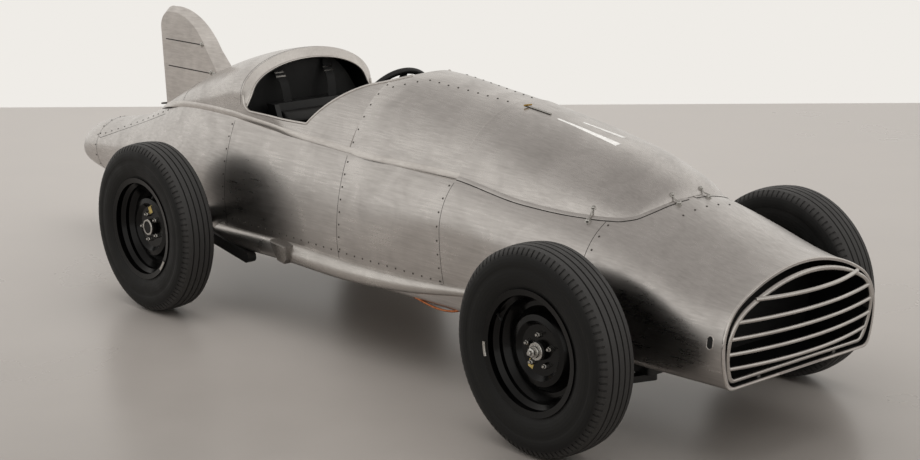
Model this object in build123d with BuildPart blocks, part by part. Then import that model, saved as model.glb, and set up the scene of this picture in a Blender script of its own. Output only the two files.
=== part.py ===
"""Open wheel single-seat record car in bare aluminium, with a tail fin and black steel wheels.

Frame: +X points forward, +Y to the car's left, +Z up. The origin is on the ground, in the middle
of the car's length and width. Station tables give x from the middle of the wheelbase.
"""
import os
from collections import namedtuple
from math import asin, atan, atan2, cos, degrees, radians, sin

from build123d import *

os.makedirs("parts", exist_ok=True)

# Driving dimensions
wheelbase = 2400
front_track = 1290
rear_track = 1300
tyre_radius = 365
tyre_half_width = 81
rim_flange_radius = 219.5
bead_radius = 203
tail_reach = 2782
nose_reach = 1846.5
skin = 10
joint_gap = 0.4
running_gap = 0.3

axle_z = tyre_radius
middle_x = (tail_reach - nose_reach) / 2
front_axle_x = middle_x + wheelbase / 2
rear_axle_x = middle_x - wheelbase / 2
reach = 6000

# Panel seams, as x from the middle of the wheelbase
nose_end = 1775
nose_seam = 1150
front_seam = 440
middle_seam = -195
rear_seam = -1000
fin_tail = -2060
floor_seam_z = 322

# Front suspension and steering
kingpin_y = 540
upright_bottom = 220.3
upright_top = 495
arm_thickness = 24
steer_arm = 140
track_rod_z = 262
track_rod_radius = 11
spindle_radius = 20
backplate_radius = 126
front_frame_back = 1225

# Rear axle
axle_tube_radius = 38
rear_backplate_y = 562

# Steering wheel
steering_centre = (-365, 0, 900)
steering_tilt = 25
steering_radius = 190
steering_grip = 13
column_radius = 16
dash_x = -112
firewall_x = 290

# Hull sections: upper half is a two-arc oval, lower half tucks in to a flat floor
Hull = namedtuple("Hull", "x half_width widest_z crown_z floor_half floor_z")
hull_stations = [
    Hull(1775, 402, 440, 672, 372, 296),
    Hull(1450, 418, 480, 752, 385, 292),
    Hull(1150, 430, 525, 825, 392, 288),
    Hull(800, 442, 575, 868, 396, 286),
    Hull(440, 447, 600, 905, 398, 285),
    Hull(60, 444, 530, 1000, 402, 285),
    Hull(-195, 436, 475, 1093, 402, 285),
    Hull(-700, 430, 480, 1105, 400, 285),
    Hull(-1000, 420, 490, 1098, 388, 287),
    Hull(-1250, 398, 500, 1036, 360, 290),
    Hull(-1550, 350, 510, 922, 305, 298),
    Hull(-1850, 290, 510, 785, 245, 308),
    Hull(-2080, 248, 500, 690, 200, 318),
    Hull(-2450, 172, 462, 603, 125, 338),
    Hull(-2700, 118, 425, 532, 75, 352),
    Hull(-tail_reach, 60, 405, 460, 40, 370),
]
corner_share = 0.1
tail_solid_from = -2080

# Cowl and bonnet sections: a two-arc arch on a straight base hidden in the hull
Arch = namedtuple("Arch", "x half_width base_z crown_z")
arch_stations = [
    Arch(-195, 436, 475, 1093),
    Arch(60, 405, 600, 1083),
    Arch(440, 357, 690, 1040),
    Arch(800, 325, 715, 980),
    Arch(1050, 268, 720, 905),
    Arch(1200, 190, 725, 845),
    Arch(1296, 45, 735, 795),
]
bonnet_tip_solid_from = 1200


def at_x(x):
    """Plane across the car at station x, with local x to the left and local y up."""
    return Plane(origin=(middle_x + x, 0, 0), x_dir=(0, 1, 0), z_dir=(1, 0, 0))


def quarter_oval(half_width, height):
    """Where the side arc of a two-arc quarter oval meets the top arc, and its halfway point.

    The arcs meet at the angle whose tangent is half_width over height, which keeps near an ellipse.
    """
    turn = atan(half_width / height)
    side_radius = (half_width * (1 - sin(turn)) - height * cos(turn)) / (1 - cos(turn) - sin(turn))
    centre = half_width - side_radius
    join = (centre + side_radius * cos(turn), side_radius * sin(turn))
    bow = (centre + side_radius * cos(turn / 2), side_radius * sin(turn / 2))
    return join, bow


def oval_sketch(plane, half, widest, crown, foot, floor, corner):
    """Section with an oval top and with sides that tuck in to a flat floor, widest at one height."""
    join, bow = quarter_oval(half, crown - widest)
    drop = widest - floor
    tuck_radius = ((half - foot) ** 2 + drop**2) / (2 * (half - foot))
    tuck = asin(drop / tuck_radius) / 2
    tuck_x = half - tuck_radius + tuck_radius * cos(tuck)
    tuck_y = widest - tuck_radius * sin(tuck)
    with BuildSketch(plane) as section:
        with BuildLine():
            for side in (1, -1):
                ThreePointArc(
                    (side * half, widest), (side * bow[0], widest + bow[1]), (side * join[0], widest + join[1])
                )
                ThreePointArc((side * half, widest), (side * tuck_x, tuck_y), (side * foot, floor))
            ThreePointArc((-join[0], widest + join[1]), (0, crown), (join[0], widest + join[1]))
            Line((-foot, floor), (foot, floor))
        make_face()
        fillet(section.vertices().group_by(Axis.Y)[0], radius=corner)
    return section.sketch


def hull_section(station, inset=0.0):
    """Closed hull section, drawn inside the outer skin by inset."""
    return oval_sketch(
        at_x(station.x),
        station.half_width - inset,
        station.widest_z,
        station.crown_z - inset,
        station.floor_half - inset,
        station.floor_z + inset,
        corner_share * station.floor_half,
    )


def arch_section(station, inset=0.0):
    """Closed arch section of cowl and bonnet, drawn inside the outer skin by inset."""
    half = station.half_width - inset
    height = station.crown_z - inset - station.base_z
    join, bow = quarter_oval(half, height)
    with BuildSketch(at_x(station.x)) as section:
        with BuildLine():
            for side in (1, -1):
                ThreePointArc(
                    (side * half, station.base_z),
                    (side * bow[0], station.base_z + bow[1]),
                    (side * join[0], station.base_z + join[1]),
                )
            ThreePointArc(
                (-join[0], station.base_z + join[1]),
                (0, station.crown_z - inset),
                (join[0], station.base_z + join[1]),
            )
            Line((-half, station.base_z), (half, station.base_z))
        make_face()
    return section.sketch


with BuildPart() as hull_outer:
    loft([hull_section(station) for station in hull_stations])

with BuildPart() as hull_inner:
    loft([hull_section(station, skin) for station in hull_stations if station.x >= tail_solid_from])

with BuildPart() as arch_outer:
    loft([arch_section(station) for station in arch_stations])

with BuildPart() as arch_inner:
    loft([arch_section(station, skin) for station in arch_stations if station.x <= bonnet_tip_solid_from])

with BuildPart() as hull_shell:
    add(hull_outer.part)
    add(hull_inner.part, mode=Mode.SUBTRACT)

with BuildPart() as arch_shell:
    add(arch_outer.part)
    add(arch_inner.part, mode=Mode.SUBTRACT)


def x_at(x):
    """Frame x of a place given from the middle of the wheelbase."""
    return middle_x + x


def slab(back, front, low=-100, high=1500):
    """Block across the whole width between two stations and two heights."""
    with BuildPart() as block:
        with Locations((x_at((back + front) / 2), 0, (low + high) / 2)):
            Box(front - back, reach, high - low)
    return block.part


def save(piece, name):
    """Label a finished piece and write it out."""
    piece.part.label = name
    export_step(piece.part, f"parts/{name}.step")


# Cutters: the level seam between hull and upper panels, the cockpit mouth, the engine bay mouth
with BuildPart() as above_seam:
    with BuildSketch(Plane.XZ):
        with BuildLine():
            level = ThreePointArc((x_at(front_seam), 782), (x_at(-300), 797), (x_at(rear_seam), 828))
            falling = ThreePointArc(level @ 1, (x_at(-1500), 800), (x_at(fin_tail), 690))
            Polyline(falling @ 1, (x_at(fin_tail), 1400), (x_at(front_seam), 1400), level @ 0)
        make_face()
    extrude(amount=reach, both=True)

with BuildPart() as cockpit_mouth:
    with BuildSketch(Plane.XZ):
        with BuildLine():
            arch_edge = ThreePointArc((x_at(-819), 1090), (x_at(-925), 965), (x_at(-873), 885))
            lip = Line((x_at(-835), 869), (x_at(-500), 867))
            ThreePointArc(arch_edge @ 1, (x_at(-857), 874), lip @ 0)
            shoulder = ThreePointArc(lip @ 1, (x_at(-385), 985), (x_at(-272), 1041))
            brow = ThreePointArc(shoulder @ 1, (x_at(-150), 1074), (x_at(-50), 1110))
            Polyline(brow @ 1, (x_at(-50), 1300), (x_at(-819), 1300), arch_edge @ 0)
        make_face()
    extrude(amount=reach, both=True)

with BuildPart() as engine_bay_mouth:
    with BuildSketch(Plane.XY.offset(650)):
        with BuildLine():
            left_edge = ThreePointArc((x_at(front_seam), 315), (x_at(800), 290), (x_at(1080), 205))
            tip_edge = ThreePointArc(left_edge @ 1, (x_at(1245), 0), (x_at(1080), -205))
            right_edge = ThreePointArc(tip_edge @ 1, (x_at(800), -290), (x_at(front_seam), -315))
            Line(right_edge @ 1, left_edge @ 0)
        make_face()
    extrude(amount=400)

# Hull panels below the seam, with slots for the front upper arms and the rear axle
arm_slot = (80, 48)
axle_slot = (200, 104)
with BuildPart() as lower_shell:
    add(hull_shell.part)
    add(above_seam.part, mode=Mode.SUBTRACT)
    add(engine_bay_mouth.part, mode=Mode.SUBTRACT)
    with BuildSketch(Plane.XZ):
        with Locations((front_axle_x, upright_top + arm_thickness / 2)):
            RectangleRounded(*arm_slot, radius=12)
        with Locations((rear_axle_x, axle_z + 20)):
            SlotOverall(*axle_slot, rotation=90)
    extrude(amount=reach, both=True, mode=Mode.SUBTRACT)

Panel = namedtuple("Panel", "name back front low high")
for panel in (
    Panel("nose_shell", nose_seam, 2000, 0, 1500),
    Panel("side_panels_front", front_seam, nose_seam, floor_seam_z, 1500),
    Panel("side_panels_mid", middle_seam, front_seam, floor_seam_z, 1500),
    Panel("side_panels_rear", rear_seam, middle_seam, floor_seam_z, 1500),
    Panel("undertray", rear_seam, nose_seam, 0, floor_seam_z),
    Panel("tail_shell", -3000, rear_seam, 0, 1500),
):
    with BuildPart() as hull_panel:
        add(lower_shell.part)
        add(slab(panel.back, panel.front, panel.low, panel.high), mode=Mode.INTERSECT)
    save(hull_panel, panel.name)

# Upper panels
with BuildPart() as cockpit_shell:
    add(hull_shell.part)
    add(above_seam.part, mode=Mode.INTERSECT)
    add(slab(fin_tail, middle_seam), mode=Mode.INTERSECT)
    add(cockpit_mouth.part, mode=Mode.SUBTRACT)
save(cockpit_shell, "cockpit_shell")

with BuildPart() as cowl:
    add(arch_shell.part)
    add(above_seam.part, mode=Mode.INTERSECT)
    add(slab(middle_seam, front_seam), mode=Mode.INTERSECT)
    add(cockpit_mouth.part, mode=Mode.SUBTRACT)
save(cowl, "cowl")

with BuildPart() as bonnet:
    add(arch_shell.part)
    add(slab(front_seam + joint_gap, nose_end), mode=Mode.INTERSECT)
    add(hull_outer.part.moved(Location((0, 0, joint_gap))), mode=Mode.SUBTRACT)
save(bonnet, "bonnet")

# Tail fin, standing on the head fairing
fin_half_thickness = 14
with BuildPart() as fin:
    with BuildSketch(Plane.XZ):
        with BuildLine():
            trailing = Line((x_at(-2050), 640), (x_at(-2082), 1115))
            crest = ThreePointArc(trailing @ 1, (x_at(-2050), 1172), (x_at(-1976), 1194))
            brow_line = ThreePointArc(crest @ 1, (x_at(-1807), 1173), (x_at(-1602), 1023))
            leading = ThreePointArc(brow_line @ 1, (x_at(-1555), 980), (x_at(-1500), 930))
            Polyline(leading @ 1, (x_at(-1500), 800), trailing @ 0)
        make_face()
    extrude(amount=fin_half_thickness, both=True)
    fillet(fin.faces().sort_by(Axis.Y)[-1].edges(), radius=8)
    fillet(fin.faces().sort_by(Axis.Y)[0].edges(), radius=8)
    add(hull_outer.part, mode=Mode.SUBTRACT)
save(fin, "fin")

# Grille: a leaning ring with bowed bars
ring_lean = 7
ring_radius = 8
ring_round = 6
ring_half = 376
ring_widest = 120
ring_height = 322
ring_foot = 345
ring_corner = 30
bar_radius = 7.5
bar_bow = 48
lug_x = 1752
lug_width = 16
lug_reach = 21
ring_plane = Plane(
    origin=(x_at(1757), 0, 320),
    x_dir=(0, 1, 0),
    z_dir=(cos(radians(ring_lean)), 0, -sin(radians(ring_lean))),
)


def ring_sketch(grow):
    """Outline of the grille ring, grown outward from the middle of its tube."""
    return oval_sketch(
        ring_plane, ring_half + grow, ring_widest, ring_height + grow, ring_foot + grow, -grow, ring_corner + grow
    )


Bar = namedtuple("Bar", "x half_width z")
with BuildPart() as grille:
    extrude(ring_sketch(ring_radius), amount=ring_radius, both=True)
    extrude(ring_sketch(-ring_radius), amount=ring_radius, both=True, mode=Mode.SUBTRACT)
    fillet(grille.edges().filter_by(lambda edge: edge.length > 2 * ring_radius + 1), radius=ring_round)
    for bar in (
        Bar(1764, 358, 368),
        Bar(1770, 373, 420),
        Bar(1776, 368, 472),
        Bar(1783, 346, 526),
        Bar(1791, 268, 590),
    ):
        with BuildLine(Plane.XY.offset(bar.z)) as bow_line:
            ThreePointArc(
                (x_at(bar.x), -bar.half_width), (x_at(bar.x + bar_bow), 0), (x_at(bar.x), bar.half_width)
            )
        with BuildSketch(Plane(origin=bow_line.line @ 0, z_dir=bow_line.line % 0)):
            Circle(bar_radius)
        sweep(path=bow_line.line)
    with Locations((x_at(lug_x), ring_half + lug_reach / 2, 440), (x_at(lug_x), -ring_half - lug_reach / 2, 440)):
        Box(lug_width, lug_reach, lug_width)
    with Locations((x_at(lug_x), 200, 320 - lug_reach / 2), (x_at(lug_x), -200, 320 - lug_reach / 2)):
        Box(lug_width, lug_width, lug_reach)
    add(hull_shell.part, mode=Mode.SUBTRACT)
save(grille, "grille")

# Sill fairings along the lower corners of the hull, tapering forward
Sill = namedtuple("Sill", "x y z radius")
with BuildPart() as sill_tubes:
    sections = []
    for sill in (
        Sill(-1060, 403, 308, 42),
        Sill(-560, 412, 336, 45),
        Sill(-130, 416, 334, 43),
        Sill(214, 422, 351, 32),
        Sill(580, 428, 392, 16),
    ):
        with BuildSketch(at_x(sill.x)) as ring:
            with Locations((sill.y, sill.z)):
                Circle(sill.radius)
        sections.append(ring.sketch)
    loft(sections)
    add(hull_outer.part, mode=Mode.SUBTRACT)
    mirror(about=Plane.XZ)
save(sill_tubes, "sill_tubes")

# Cast scoops on the sill fairings
with BuildPart() as sill_scoops:
    with BuildSketch(Plane.XZ.offset(-420)):
        with BuildLine():
            Polyline(
                (x_at(-650), 318), (x_at(-560), 300), (x_at(-535), 330), (x_at(-535), 372), (x_at(-645), 384),
                close=True,
            )
        make_face()
    extrude(amount=-58)
    fillet(sill_scoops.faces().sort_by(Axis.Y)[-1].edges(), radius=8)
    add(sill_tubes.part, mode=Mode.SUBTRACT)
    add(hull_outer.part, mode=Mode.SUBTRACT)
    mirror(about=Plane.XZ)
save(sill_scoops, "sill_scoops")

# Plates across the inside of the hull and of the cowl
with BuildPart() as inside:
    add(hull_inner.part)
    add(above_seam.part, mode=Mode.SUBTRACT)
with BuildPart() as cowl_inside:
    add(arch_inner.part)
    add(above_seam.part, mode=Mode.INTERSECT)

with BuildPart() as radiator:
    add(hull_inner.part)
    add(slab(1440, 1490), mode=Mode.INTERSECT)
save(radiator, "radiator")

with BuildPart() as firewall:
    add(inside.part)
    add(cowl_inside.part)
    add(slab(firewall_x, firewall_x + 8), mode=Mode.INTERSECT)
save(firewall, "firewall")

with BuildPart() as rear_bulkhead:
    add(hull_inner.part)
    add(slab(rear_seam - 8, rear_seam), mode=Mode.INTERSECT)
save(rear_bulkhead, "rear_bulkhead")

column_dir = Vector(cos(radians(steering_tilt)), 0, -sin(radians(steering_tilt)))
wheel_origin = Vector(x_at(steering_centre[0]), steering_centre[1], steering_centre[2])
wheel_plane = Plane(origin=wheel_origin, x_dir=(0, -1, 0), z_dir=-column_dir)
steering_hub_half = 16

with BuildPart() as steering_column:
    with BuildSketch(wheel_plane.offset(-steering_hub_half - joint_gap)):
        Circle(column_radius)
    extrude(amount=-900)
    add(slab(steering_centre[0], firewall_x), mode=Mode.INTERSECT)
save(steering_column, "steering_column")

with BuildPart() as dash:
    add(cowl_inside.part)
    add(slab(dash_x, dash_x + 8), mode=Mode.INTERSECT)
    with Locations((x_at(dash_x + 4), 0, 775)):
        Box(8, 600, 90)
    add(steering_column.part, mode=Mode.SUBTRACT)
save(dash, "dash")

with BuildPart() as steering_wheel:
    with BuildSketch(Plane(origin=wheel_origin, x_dir=wheel_plane.y_dir, z_dir=(0, 1, 0))):
        with Locations((steering_radius, 0)):
            Circle(steering_grip)
    revolve(axis=Axis(wheel_origin, column_dir))
    with BuildSketch(wheel_plane.offset(-3)):
        with PolarLocations(steering_radius / 2, 3, start_angle=90):
            Rectangle(steering_radius, 34)
        Circle(44)
    extrude(amount=6)
    with BuildSketch(wheel_plane.offset(-steering_hub_half)):
        Circle(30)
    extrude(amount=2 * steering_hub_half)
save(steering_wheel, "steering_wheel")

# Bucket seat on two runners
seat_half = 215
seat_wall = 24
with BuildPart() as seat:
    with BuildSketch(Plane.XZ):
        with BuildLine():
            front_rise = Line((x_at(-410), 335), (x_at(-410), 450))
            bolster = ThreePointArc(front_rise @ 1, (x_at(-680), 520), (x_at(-850), 760))
            Polyline(bolster @ 1, (x_at(-900), 880), (x_at(-955), 880), (x_at(-850), 335), front_rise @ 0)
        make_face()
    extrude(amount=seat_half, both=True)
    with BuildSketch(Plane.XZ):
        with BuildLine():
            pan = ThreePointArc((x_at(-380), 400), (x_at(-640), 372), (x_at(-800), 375))
            back = Line(pan @ 1, (x_at(-918), 900))
            Polyline(back @ 1, (x_at(-380), 900), pan @ 0)
        make_face()
    extrude(amount=seat_half - seat_wall, both=True, mode=Mode.SUBTRACT)
    with Locations((x_at(-630), 160, 305), (x_at(-630), -160, 305)):
        Box(320, 40, 60)
    add(hull_inner.part, mode=Mode.INTERSECT)
save(seat, "seat")

# Engine as one plain block between firewall and front frame
with BuildPart() as engine_block:
    with Locations((x_at(790), 0, 480)):
        Box(620, 360, 440)
    fillet(engine_block.edges().filter_by(Axis.X), radius=60)
    with Locations((x_at(790), 0, 300)):
        Box(300, 200, 80)
    add(hull_inner.part, mode=Mode.INTERSECT)
save(engine_block, "engine_block")

# Front suspension: frame ring, crossmember, arms
front_frame_front = front_frame_back + 30
with BuildPart() as front_frame:
    add(hull_inner.part)
    add(slab(front_frame_back, front_frame_front), mode=Mode.INTERSECT)
    with Locations((x_at(front_frame_back + 15), 0, 510)):
        Box(60, 640, 330, mode=Mode.SUBTRACT)
    add(engine_bay_mouth.part, mode=Mode.SUBTRACT)
save(front_frame, "front_frame")

arm_low = upright_bottom - running_gap - arm_thickness
crossmember_half = 270
arm_roots = (-70, 110)
crossmember_x = front_axle_x + sum(arm_roots) / 2
jack_pad = (120, 160)
jack_pad_drop = 34
with BuildPart() as front_crossmember:
    with BuildSketch(Plane.XY.offset(arm_low + arm_thickness)):
        with Locations((crossmember_x, 0)):
            RectangleRounded(arm_roots[1] - arm_roots[0] + 60, 2 * crossmember_half, radius=20)
    extrude(amount=90)
    with BuildSketch(Plane.XY.offset(arm_low + arm_thickness)):
        with Locations((crossmember_x, 0)):
            RectangleRounded(*jack_pad, radius=12)
    extrude(amount=-jack_pad_drop)
    add(hull_outer.part, mode=Mode.SUBTRACT)
save(front_crossmember, "front_crossmember")


def strut(start, end, width):
    """Round-ended bar drawn between two points of the open sketch."""
    run = Vector(*end) - Vector(*start)
    with Locations((Vector(*start) + Vector(*end)) / 2):
        SlotCenterToCenter(run.length, width, rotation=degrees(atan2(run.Y, run.X)))


with BuildPart() as front_lower_arms:
    with BuildSketch(Plane.XY.offset(arm_low)):
        for root in arm_roots:
            strut((front_axle_x, kingpin_y), (front_axle_x + root, crossmember_half - 40), 44)
        with Locations((front_axle_x, kingpin_y)):
            Circle(32)
    extrude(amount=arm_thickness)
    mirror(about=Plane.XZ)
save(front_lower_arms, "front_lower_arms")

with BuildPart() as front_upper_arms:
    with BuildSketch(Plane.XY.offset(upright_top + running_gap)):
        strut((front_axle_x, kingpin_y), (front_axle_x, 370), 50)
        with Locations((front_axle_x, kingpin_y)):
            Circle(26)
    extrude(amount=arm_thickness)
    mirror(about=Plane.XZ)
save(front_upper_arms, "front_upper_arms")


def outward_plane(x, side, y):
    """Upright plane beside an axle at y on one side of the car, facing outward."""
    return Plane(origin=(x, side * y, axle_z), x_dir=(1, 0, 0), z_dir=(0, side, 0))


# Knuckles with spindle, brake backplate and steering arm
front_wheel_y = front_track / 2
rear_wheel_y = rear_track / 2
drum_back = 72
backplate_gap = 6
spindle_end = 13.5
for side, hand in ((1, "left"), (-1, "right")):
    with BuildPart() as knuckle:
        with BuildSketch(Plane.XY.offset(upright_bottom)):
            with Locations((front_axle_x, side * (kingpin_y - 4))):
                RectangleRounded(60, 48, radius=12)
        extrude(amount=upright_top - upright_bottom)
        with BuildSketch(outward_plane(front_axle_x, side, kingpin_y)):
            Circle(spindle_radius)
        extrude(amount=front_wheel_y + spindle_end - kingpin_y)
        plate_y = front_wheel_y - drum_back - backplate_gap
        with BuildSketch(outward_plane(front_axle_x, side, plate_y)):
            Circle(backplate_radius)
        extrude(amount=-8)
        with BuildSketch(Plane.XY.offset(track_rod_z + track_rod_radius + joint_gap)):
            strut((front_axle_x, side * (kingpin_y - 8)), (front_axle_x - steer_arm, side * (kingpin_y - 20)), 34)
        extrude(amount=20)
    save(knuckle, f"knuckle_{hand}")

with BuildPart() as track_rod:
    rod_x = front_axle_x - steer_arm
    rod_half = kingpin_y - 20
    with BuildSketch(Plane.XZ.offset(-rod_half)):
        with Locations((rod_x, track_rod_z)):
            Circle(track_rod_radius)
    extrude(amount=2 * rod_half)
    with BuildSketch(Plane.XY.offset(track_rod_z - track_rod_radius)):
        with Locations((rod_x, rod_half), (rod_x, -rod_half)):
            Circle(16)
    extrude(amount=2 * track_rod_radius)
save(track_rod, "track_rod")

# Rear axle with its differential housing and the radius arms that carry it
with BuildPart() as rear_axle:
    with BuildSketch(Plane.XZ.offset(-rear_backplate_y)):
        with Locations((rear_axle_x, axle_z)):
            Circle(axle_tube_radius)
    extrude(amount=2 * rear_backplate_y)
    with Locations((rear_axle_x, 0, axle_z)):
        Sphere(62)
    for side in (1, -1):
        with BuildSketch(outward_plane(rear_axle_x, side, rear_backplate_y)):
            Circle(backplate_radius)
        extrude(amount=8)
        with BuildSketch(outward_plane(rear_axle_x, side, rear_backplate_y)):
            Circle(spindle_radius)
        extrude(amount=rear_wheel_y + spindle_end - rear_backplate_y)
save(rear_axle, "rear_axle")

with BuildPart() as rear_arms:
    with BuildSketch(Plane.XZ.offset(-420)):
        strut((rear_axle_x, axle_z - 30), (x_at(-800), 268), 46)
    extrude(amount=-40)
    add(rear_axle.part, mode=Mode.SUBTRACT)
    add(sill_tubes.part, mode=Mode.SUBTRACT)
    add(hull_outer.part, mode=Mode.SUBTRACT)
    mirror(about=Plane.XZ)
save(rear_arms, "rear_arms")

# Copper pipe hanging in a bow under the right sill
pipe_radius = 5
with BuildPart() as copper_pipe:
    with BuildLine() as pipe_line:
        FilletPolyline(
            (x_at(200), -370, 290), (x_at(330), -376, 268), (x_at(455), -380, 238),
            (x_at(540), -376, 252), (x_at(600), -370, 290),
            radius=60,
        )
    with BuildSketch(Plane(origin=pipe_line.line @ 0, z_dir=pipe_line.line % 0)):
        Circle(pipe_radius)
    sweep(path=pipe_line.line)
    add(hull_outer.part, mode=Mode.SUBTRACT)
save(copper_pipe, "copper_pipe")

# Wheels: tyre, steel wheel and brake drum with hub at each corner
Corner = namedtuple("Corner", "name x side y")
for corner in (
    Corner("front_left", front_axle_x, 1, front_wheel_y),
    Corner("front_right", front_axle_x, -1, front_wheel_y),
    Corner("rear_left", rear_axle_x, 1, rear_wheel_y),
    Corner("rear_right", rear_axle_x, -1, rear_wheel_y),
):
    centre = (corner.x, corner.side * corner.y, axle_z)
    half_plane = Plane(origin=centre, x_dir=(0, corner.side, 0), z_dir=(corner.side, 0, 0))
    wheel_axis = Axis(centre, (0, corner.side, 0))

    with BuildPart() as tyre:
        with BuildSketch(half_plane):
            with BuildLine():
                for side in (1, -1):
                    wall = ThreePointArc((side * 69, 222), (side * 79.5, 252), (side * tyre_half_width, 292))
                    ThreePointArc(wall @ 1, (side * 76, 338), (side * 60, 359))
                    Polyline((side * 69, 222), (side * 65, bead_radius), (0, bead_radius))
                ThreePointArc((-60, 359), (0, tyre_radius), (60, 359))
            make_face()
        revolve(axis=wheel_axis)
    save(tyre, f"tyre_{corner.name}")

    with BuildPart() as rim:
        with BuildSketch(half_plane):
            with BuildLine():
                outside = Polyline(
                    (-75, rim_flange_radius), (-70, rim_flange_radius), (-66, bead_radius), (-45, bead_radius),
                    (-30, 188), (30, 188), (45, bead_radius), (66, bead_radius),
                    (70, rim_flange_radius), (75, rim_flange_radius),
                )
                Polyline(
                    outside @ 1, (71, 198), (47, 198), (32, 183), (-32, 183), (-47, 198), (-71, 198), outside @ 0,
                )
            make_face()
            with BuildLine():
                face_line = Polyline((18, 184), (-6, 166), (-6, 150), (24, 124), (28, 104), (13, 88), (12, 34))
                Polyline(
                    face_line @ 1, (7, 34), (7, 91), (22, 102), (19, 120), (-11, 147), (-11, 168), (10, 184),
                    face_line @ 0,
                )
            make_face()
        revolve(axis=wheel_axis)
    save(rim, f"rim_{corner.name}")

    with BuildPart() as drum:
        with BuildSketch(half_plane):
            with BuildLine():
                bore = spindle_radius + running_gap
                nose = Polyline(
                    (14, 0), (14, bore), (-58, bore), (-58, 38), (-8, 38), (-8, 86), (-20, 106), (-27, 130),
                )
                shell = Polyline(
                    nose @ 1, (-drum_back, 130), (-drum_back, 138), (-20, 138), (-13, 110), (-1, 92), (7, 84),
                )
                Polyline(shell @ 1, (7, 33.6), (27, 33.6), (35, 25), (35, 0), nose @ 0)
            make_face()
        revolve(axis=wheel_axis)
    save(drum, f"drum_{corner.name}")
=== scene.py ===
"""Open wheel racing car in bare aluminium: finishes, tread, rivets, seams, catches and studio.

Lengths in the tables are millimetres; x is taken from the middle of the wheelbase, +X forward,
+Y to the car's left and +Z up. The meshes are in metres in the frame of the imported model.
"""

import bmesh
import bpy
import numpy as np
from mathutils import Matrix, Vector
from mathutils.bvhtree import BVHTree


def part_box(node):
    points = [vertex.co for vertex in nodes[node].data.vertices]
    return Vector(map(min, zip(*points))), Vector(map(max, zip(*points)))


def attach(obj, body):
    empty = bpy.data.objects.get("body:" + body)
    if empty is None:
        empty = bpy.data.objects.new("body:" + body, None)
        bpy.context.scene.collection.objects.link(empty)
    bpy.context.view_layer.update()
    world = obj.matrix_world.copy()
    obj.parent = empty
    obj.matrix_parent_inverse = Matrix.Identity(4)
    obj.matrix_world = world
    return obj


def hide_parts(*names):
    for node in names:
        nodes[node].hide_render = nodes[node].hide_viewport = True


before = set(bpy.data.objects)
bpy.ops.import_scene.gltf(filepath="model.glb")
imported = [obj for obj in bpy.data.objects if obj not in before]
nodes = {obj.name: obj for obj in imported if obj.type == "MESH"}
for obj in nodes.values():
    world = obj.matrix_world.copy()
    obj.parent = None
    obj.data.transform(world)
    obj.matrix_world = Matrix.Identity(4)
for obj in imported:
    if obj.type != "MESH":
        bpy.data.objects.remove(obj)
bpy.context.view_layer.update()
MM = 0.001


def middle(name):
    """Middle of a node's box, in metres."""
    low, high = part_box(name)
    return (np.array(low) + np.array(high)) / 2


MIDDLE_X = (middle("tyre_front_left")[0] + middle("tyre_rear_left")[0]) / 2


def placed(points):
    """Millimetres from the wheelbase middle turned into metres in the frame."""
    return np.asarray(points, float) * MM + [MIDDLE_X, 0, 0]


def unplaced(points):
    """Metres in the frame turned back into millimetres from the wheelbase middle."""
    return (points - [MIDDLE_X, 0, 0]) / MM


# Shader helpers


def linear(code):
    """Linear colour of an sRGB hex value."""
    rgb = np.array([int(code[i : i + 2], 16) for i in (1, 3, 5)]) / 255
    rgb = np.where(rgb <= 0.04045, rgb / 12.92, ((rgb + 0.055) / 1.055) ** 2.4)
    return (*rgb, 1.0)


def add_node(tree, kind, inputs=None, **settings):
    """Add a node, make its settings, and give each input a value or another node's output."""
    made = tree.nodes.new(kind)
    for name, value in settings.items():
        setattr(made, name, value)
    for key, value in (inputs or {}).items():
        if isinstance(value, bpy.types.NodeSocket):
            tree.links.new(value, made.inputs[key])
        else:
            made.inputs[key].default_value = value
    return made


def new_finish(name, **sockets):
    """Material with its node tree and shader; sockets are constant values on the shader."""
    made = bpy.data.materials.new(name)
    made.use_nodes = True
    shader = made.node_tree.nodes["Principled BSDF"]
    for key, value in sockets.items():
        shader.inputs[key.replace("_", " ")].default_value = value
    return made, made.node_tree, shader


# Size of the cloudy patches left by hand sanding, and the range of streaks and clouds added up
CLOUD_SIZE = 170
GRAIN_LOW, GRAIN_HIGH = 0.7, 1.3
# The hull's middle line in metres: level from the cockpit forward, sinking towards the tail
TAIL_X, LEVEL_X = -2.31, -1.3
TAIL_Z, LEVEL_Z = 0.42, 0.56
# A face counts as an inner one when it looks back at the middle line by more than this, in metres
INWARD = -0.05


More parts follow.
